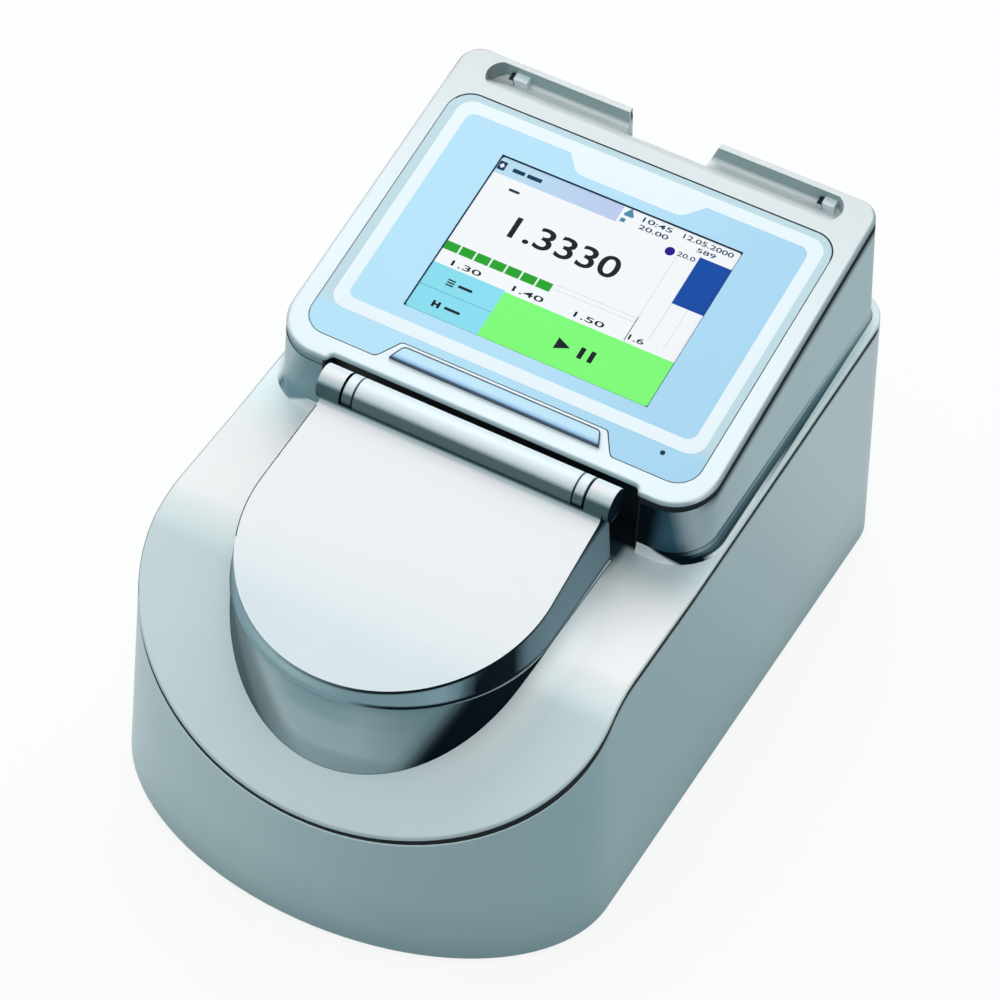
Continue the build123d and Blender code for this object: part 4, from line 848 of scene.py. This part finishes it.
# A frame between two rounded rectangles
def addRing(bm, outer, inner, base, thickness, outerCorner, innerCorner):
    sheets = flatSheet(bm, outer, base, outerCorner) + flatSheet(bm, inner, base, innerCorner)
    edges = list({e for f in sheets for e in f.edges})
    bmesh.ops.delete(bm, geom=sheets, context="FACES_ONLY")
    strip = bmesh.ops.bridge_loops(bm, edges=edges)["faces"]
    thicken(bm, strip, thickness)


# A flat round given by its centre and radius
def addDisc(bm, disc, base, thickness):
    x, y, radius = disc
    verts = bmesh.ops.create_circle(bm, cap_ends=True, radius=radius, segments=32)["verts"]
    bmesh.ops.translate(bm, verts=verts, vec=(x, y, base))
    thicken(bm, list({f for v in verts for f in v.link_faces}), thickness)


# A plain number fitted into a box
def addNumber(bm, digits, box, base, thickness, weight=0.0):
    curve = bpy.data.curves.new("numberDraft", "FONT")
    curve.body = digits
    curve.offset = weight
    curve.extrude = 0.5  # to both sides, so the draft is 1 thick
    curve.resolution_u = 5
    holder = bpy.data.objects.new("numberDraft", curve)
    bpy.context.scene.collection.objects.link(holder)
    bpy.context.view_layer.update()
    drawn = holder.evaluated_get(bpy.context.evaluated_depsgraph_get())
    mesh = bpy.data.meshes.new_from_object(drawn)
    draft = bmesh.new()
    draft.from_mesh(mesh)
    bmesh.ops.remove_doubles(draft, verts=draft.verts, dist=1e-5)
    xs = [v.co.x for v in draft.verts]
    ys = [v.co.y for v in draft.verts]
    left, right, bottom, top = box
    grow = ((right - left) / (max(xs) - min(xs)), (top - bottom) / (max(ys) - min(ys)), thickness)
    bmesh.ops.translate(draft, verts=draft.verts, vec=(-min(xs), -min(ys), curve.extrude))
    bmesh.ops.scale(draft, verts=draft.verts, vec=grow)
    bmesh.ops.translate(draft, verts=draft.verts, vec=(left, bottom, base))
    draft.to_mesh(mesh)
    draft.free()
    bm.from_mesh(mesh)
    bpy.data.meshes.remove(mesh)
    bpy.data.objects.remove(holder)
    bpy.data.curves.remove(curve)


screenPlace = faceFrame("touch_screen")


# How high a node's face lies over the display glass, in millimetres
def liftOf(nodeName):
    return (faceFrame(nodeName).translation - screenPlace.translation).dot(screenPlace.col[2].xyz) / mm


filmLift = liftOf("panel_sheet")
print("film lies", round(filmLift, 3), "mm over the glass")


# Printed band round the sheet, with a blank plaque at its top

printedBand = {
    "outer": (-87.2, 88.1, -56.0, 62.8),
    "inner": (-81.3, 82.2, -49.8, 56.8),
    "outerCorner": 7.5,
    "innerCorner": 4.5,
    "plaque": [(-32.3, 57.2), (-24.6, 48.0), (25.5, 48.0), (33.5, 57.2)],
    "plaqueCorner": 3.0,
    "lift": 0.005,
    "ink": 0.05,
    "plaqueLift": 0.003,
    "plaqueInk": 0.048,
    "look": {
        "darker": (0.86, 0.93, 0.97), "lighter": (0.92, 0.97, 1.0),
        "roughness": (0.40, 0.50), "specular": 0.25, "grainScale": 2600, "grainShare": 0.2, "bump": 0.03,
    },
}

bandInk = surface("band_ink", printedBand["look"])
bm = bmesh.new()
addRing(bm, printedBand["outer"], printedBand["inner"], filmLift + printedBand["lift"], printedBand["ink"],
        printedBand["outerCorner"], printedBand["innerCorner"])
finishPiece(bm, "printedBand", screenPlace, bandInk)

bm = bmesh.new()
flatShape(bm, printedBand["plaque"], filmLift + printedBand["plaqueLift"])
roundLowCorners(bm, printedBand["plaqueCorner"])
thicken(bm, bm.faces[:], printedBand["plaqueInk"])
finishPiece(bm, "blankPlaque", screenPlace, bandInk)


# Lit display: a white field with keys, bars and plain numbers

display = {
    "base": 0.004,  # the lowest layer's height over the glass
    "layer": 0.022,  # a layer's thickness
    "pitch": 1.1,  # from layer to layer, in thicknesses
    "markLift": 0.06,
    "iconCorner": 0.5,
    "markCorner": 0.4,
    "smallCorner": 0.25,
    "readoutWeight": 0.012,
    "numberWeight": 0.01,
    "field": (-57.6, 57.6, -43.2, 43.2),
    "corner": 1.6,
    "frameWidth": 0.5,
    "frameLift": 0.124,
    "frameInnerCorner": 1.3,
    "titleBar": (-57.1, 1.6, 34.0, 42.7),
    "titleIcon": (-57.0, -53.4, 36.0, 40.6),
    "titleIconMark": [(-56.2, -54.2, 37.9, 38.7), (-55.6, -54.8, 37.2, 39.5)],
    "titleMarks": [(-50.0, -44.2, 37.3, 39.3), (-43.0, -36.0, 37.3, 39.3), (-46.7, -41.6, 28.0, 29.3)],
    "readout": ("1.3330", (-36.0, 15.0, 6.7, 18.0)),
    "greenBar": {"left": -57.1, "pitch": 7.37, "count": 7, "gap": 0.8, "bottom": -10.3, "top": -5.9},
    "scaleNumbers": [
        ("1.30", (-50.0, -36.0, -16.6, -13.8)), ("1.40", (-20.7, -6.3, -16.6, -13.8)),
        ("1.50", (8.5, 22.5, -16.6, -13.8)), ("1.6", (34.2, 41.2, -16.6, -13.8)),
    ],
    "cornerNumbers": [
        ("10:45", (11.8, 25.6, 38.9, 41.4)), ("20.00", (11.8, 25.6, 35.0, 37.4)),
        ("12.05.2000", (31.0, 54.5, 38.9, 41.4)), ("589", (39.3, 48.0, 35.2, 37.4)),
        ("20.0", (32.8, 41.0, 30.0, 32.3)),
    ],
    "menuBlock": (-57.1, -22.8, -42.7, -17.8),
    "menuDivider": (-57.1, -22.8, -30.15, -29.95),
    "menuMarks": [
        (-47.0, -43.4, -23.7, -23.0), (-47.0, -43.4, -25.0, -24.3), (-47.0, -43.4, -26.3, -25.6),
        (-41.6, -35.0, -25.3, -24.0),
        (-47.4, -46.2, -38.4, -35.1), (-44.9, -43.7, -38.4, -35.1), (-47.4, -43.7, -37.2, -36.3),
        (-41.6, -34.2, -37.4, -36.1),
    ],
    "startKey": (-22.8, 57.1, -42.7, -18.4),
    "startArrow": [(8.6, -34.3), (15.2, -31.3), (8.6, -28.3)],
    "pauseBars": [(19.4, 21.6, -34.2, -28.4), (24.2, 26.4, -34.2, -28.4)],
    "sideBar": (42.2, 57.1, 7.6, 33.5),
    "thinRules": [
        (42.2, 42.45, -13.0, 7.5), (49.9, 50.1, -15.0, 7.5), (33.1, 33.3, -4.6, 33.0),
        (-5.0, 33.0, -8.0, -7.8), (-5.0, 33.0, -5.7, -5.5),
    ],
    "ruleFoot": (33.05, 33.4, -17.8, -4.7),
    "drop": [(2.3, 38.5), (8.3, 38.5), (5.3, 43.0)],
    "dropCorner": 1.7,
    "dropFoot": (2.9, 5.2, 35.0, 37.0),
    "dropFootCorner": 0.3,
    "modeDot": (29.4, 30.6, 2.2),
}


# A display colour, about half of it reflected and half of it its own light
def ink(name, colour, variation=0.06, shades=()):
    return surface(name, {
        "darker": tuple(c * 0.5 * (1 - variation) for c in colour),
        "lighter": tuple(c * 0.5 * (1 + variation) for c in colour),
        "roughness": (0.5, 0.6), "specular": 0.1, "glow": 0.95, "cloudScale": 30,
        "grainScale": 3000, "grainShare": 0.1, "bump": 0.0, "shades": list(shades),
    })


inkWhite = ink("display_white", (0.97, 0.97, 0.99), 0.01)
inkBlack = ink("display_black", (0.004, 0.010, 0.014))
inkNavy = ink("display_navy", (0.004, 0.040, 0.095))
inkGreen = ink("display_green", (0.020, 0.375, 0.025))
inkLime = ink("display_lime", (0.230, 1.0, 0.200), 0.03)
inkCyan = ink("display_cyan", (0.275, 0.760, 0.900), 0.04)
inkBlue = ink("display_blue", (0.004, 0.070, 0.380))
inkSteel = ink("display_steel", (0.08, 0.27, 0.42))
inkViolet = ink("display_violet", (0.022, 0.004, 0.250))
inkPale = ink("display_pale", (0.55, 0.66, 0.72))
inkTitle = ink("display_title", (0.52, 0.76, 0.90), 0.02, [
    {"by": "place", "along": toRight, "deep": (0.27, 0.31, 0.44),
     "stops": [(-0.050, 0), (-0.015, 0.7), (0.0016, 1)]},
])


# One layer of the display: level 0 is the field, the next ones lie over it
def displayLayer(name, material, level, boxes=(), numbers=(), corner=0.0, weight=0.0):
    bm = bmesh.new()
    base = display["base"] + level * display["layer"] * display["pitch"]
    for box in boxes:
        addTile(bm, box, base, display["layer"], corner)
    for digits, box in numbers:
        addNumber(bm, digits, box, base, display["layer"], weight)
    finishPiece(bm, name, screenPlace, material)


displayLayer("displayField", inkWhite, 0, [display["field"]], corner=display["corner"])

left, right, bottom, top = display["field"]
rim = display["frameWidth"]
bm = bmesh.new()
addRing(bm, display["field"], (left + rim, right - rim, bottom + rim, top - rim), display["frameLift"],
        display["layer"], display["corner"], display["frameInnerCorner"])
finishPiece(bm, "displayFrame", screenPlace, inkNavy)

displayLayer("titleBar", inkTitle, 1, [display["titleBar"]])
displayLayer("titleIcon", inkNavy, 2, [display["titleIcon"]], corner=display["iconCorner"])
displayLayer("titleIconMark", inkWhite, 3, display["titleIconMark"])
displayLayer("titleMarks", inkNavy, 2, display["titleMarks"], corner=display["markCorner"])
displayLayer("readout", inkBlack, 1, numbers=[display["readout"]], weight=display["readoutWeight"])

bar = display["greenBar"]
levelCells = []
for cell in range(bar["count"]):
    start = bar["left"] + cell * bar["pitch"]
    levelCells.append((start, start + bar["pitch"] - bar["gap"], bar["bottom"], bar["top"]))
displayLayer("levelCells", inkGreen, 1, levelCells)
displayLayer("scaleNumbers", inkBlack, 2, numbers=display["scaleNumbers"], weight=display["numberWeight"])
displayLayer("cornerNumbers", inkNavy, 2, numbers=display["cornerNumbers"], weight=display["numberWeight"])
displayLayer("menuBlock", inkCyan, 1, [display["menuBlock"]])
displayLayer("menuDivider", inkSteel, 2, [display["menuDivider"]])
displayLayer("menuMarks", inkBlack, 3, display["menuMarks"], corner=display["smallCorner"])
displayLayer("startKey", inkLime, 1, [display["startKey"]])
displayLayer("sideBar", inkBlue, 1, [display["sideBar"]])
displayLayer("thinRules", inkPale, 1, display["thinRules"])
displayLayer("ruleFoot", inkNavy, 1, [display["ruleFoot"]])

bm = bmesh.new()
thicken(bm, flatShape(bm, display["startArrow"], display["markLift"]), display["layer"])
for box in display["pauseBars"]:
    addTile(bm, box, display["markLift"], display["layer"], display["markCorner"])
finishPiece(bm, "startMark", screenPlace, inkBlack)

bm = bmesh.new()
flatShape(bm, display["drop"], display["markLift"])
roundLowCorners(bm, display["dropCorner"])
thicken(bm, bm.faces[:], display["layer"])
addTile(bm, display["dropFoot"], display["markLift"], display["layer"], display["dropFootCorner"])
finishPiece(bm, "dropMark", screenPlace, inkSteel)

bm = bmesh.new()
addDisc(bm, display["modeDot"], display["markLift"], display["layer"])
finishPiece(bm, "modeMark", screenPlace, inkViolet)
print("display drawn")


# Dark line round the badge

badgeLine = {
    "corners": [(-46.2, -62.2), (-49.4, -69.6), (49.4, -69.6), (46.2, -62.2)],
    "corner": 1.6,
    "width": 0.55,
    "thickness": 0.06,
    "lift": 0.02,
    "look": {
        "darker": (0.002, 0.014, 0.030), "lighter": (0.006, 0.024, 0.045),
        "roughness": (0.3, 0.4), "grainScale": 2000, "bump": 0.0,
    },
}


# Leaves only a rim of flat faces
def keepRim(bm, width):
    middle = bm.faces[:]
    bmesh.ops.inset_region(bm, faces=middle, thickness=width, use_boundary=True, use_even_offset=True)
    bmesh.ops.delete(bm, geom=middle, context="FACES")


bm = bmesh.new()
flatShape(bm, badgeLine["corners"], liftOf("badge_plate") + badgeLine["lift"])
roundCorners(bm, bm.verts[:], badgeLine["corner"], segments=4)
keepRim(bm, badgeLine["width"])
thicken(bm, bm.faces[:], badgeLine["thickness"])
badgeInk = surface("badge_line", badgeLine["look"])
finishPiece(bm, "badgeLine", screenPlace, badgeInk)


# Painted shade: dark lines along the rims of flat tops, traced from the parts themselves

rimLines = {
    "lift": 0.01,
    "thickness": 0.04,
    "planeReach": 0.01,
    "sheetWidth": 0.32,
    "sheetTop": 120,  # y behind which the sheet's line follows the top edge
    "sheetRight": 86,  # x beyond which it follows the right edge
    "sheetFront": 15,  # y at which it ends there
    "lidWidth": 0.4,
    "lidLeft": -50,  # x beyond which the lid's line follows the left edge
    "lidFront": -110,  # y at its two ends
    "lidRear": -36,
    "look": {
        "darker": (0.004, 0.012, 0.018), "lighter": (0.010, 0.022, 0.030),
        "roughness": (0.5, 0.6), "specular": 0.1, "grainScale": 2000, "bump": 0.0,
    },
}


def onSheetRim(spot):
    atRight = spot.x > rimLines["sheetRight"] and spot.y > rimLines["sheetFront"]
    return spot.y > rimLines["sheetTop"] or atRight


def onLidRim(spot):
    return spot.x < rimLines["lidLeft"] and rimLines["lidFront"] < spot.y < rimLines["lidRear"]


# Keeps the flat top of a copy of a node, leaves only its rim, and raises that a little
def rimLine(name, nodeName, off, plane, width, onRim, material):
    off = Vector(off)
    bm = bmesh.new()
    bm.from_mesh(nodes[nodeName].data)
    bmesh.ops.scale(bm, verts=bm.verts, vec=(1 / mm, 1 / mm, 1 / mm))
    bmesh.ops.remove_doubles(bm, verts=bm.verts, dist=1e-4)
    reach = rimLines["planeReach"]
    aside = [f for f in bm.faces if any(abs(v.co.dot(off) - plane / mm) > reach for v in f.verts)]
    bmesh.ops.delete(bm, geom=aside, context="FACES")
    keepRim(bm, width)
    aside = [f for f in bm.faces if not onRim(f.calc_center_median())]
    bmesh.ops.delete(bm, geom=aside, context="FACES")
    bmesh.ops.translate(bm, verts=bm.verts, vec=off * rimLines["lift"])
    thicken(bm, bm.faces[:], rimLines["thickness"])
    body = nodes[nodeName]["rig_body"]
    finishPiece(bm, name, Matrix.Identity(4), material, body)


# near-black finish for the lines of painted shade
rimShade = surface("rim_painted_shade", rimLines["look"])
rimLine("sheetShadeLine", "panel_sheet", offFace, facePlane, rimLines["sheetWidth"], onSheetRim, rimShade)
rimLine("lidShadeLine", "lid_shell", offLid, lidPlane, rimLines["lidWidth"], onLidRim, rimShade)
print("dark lines drawn")
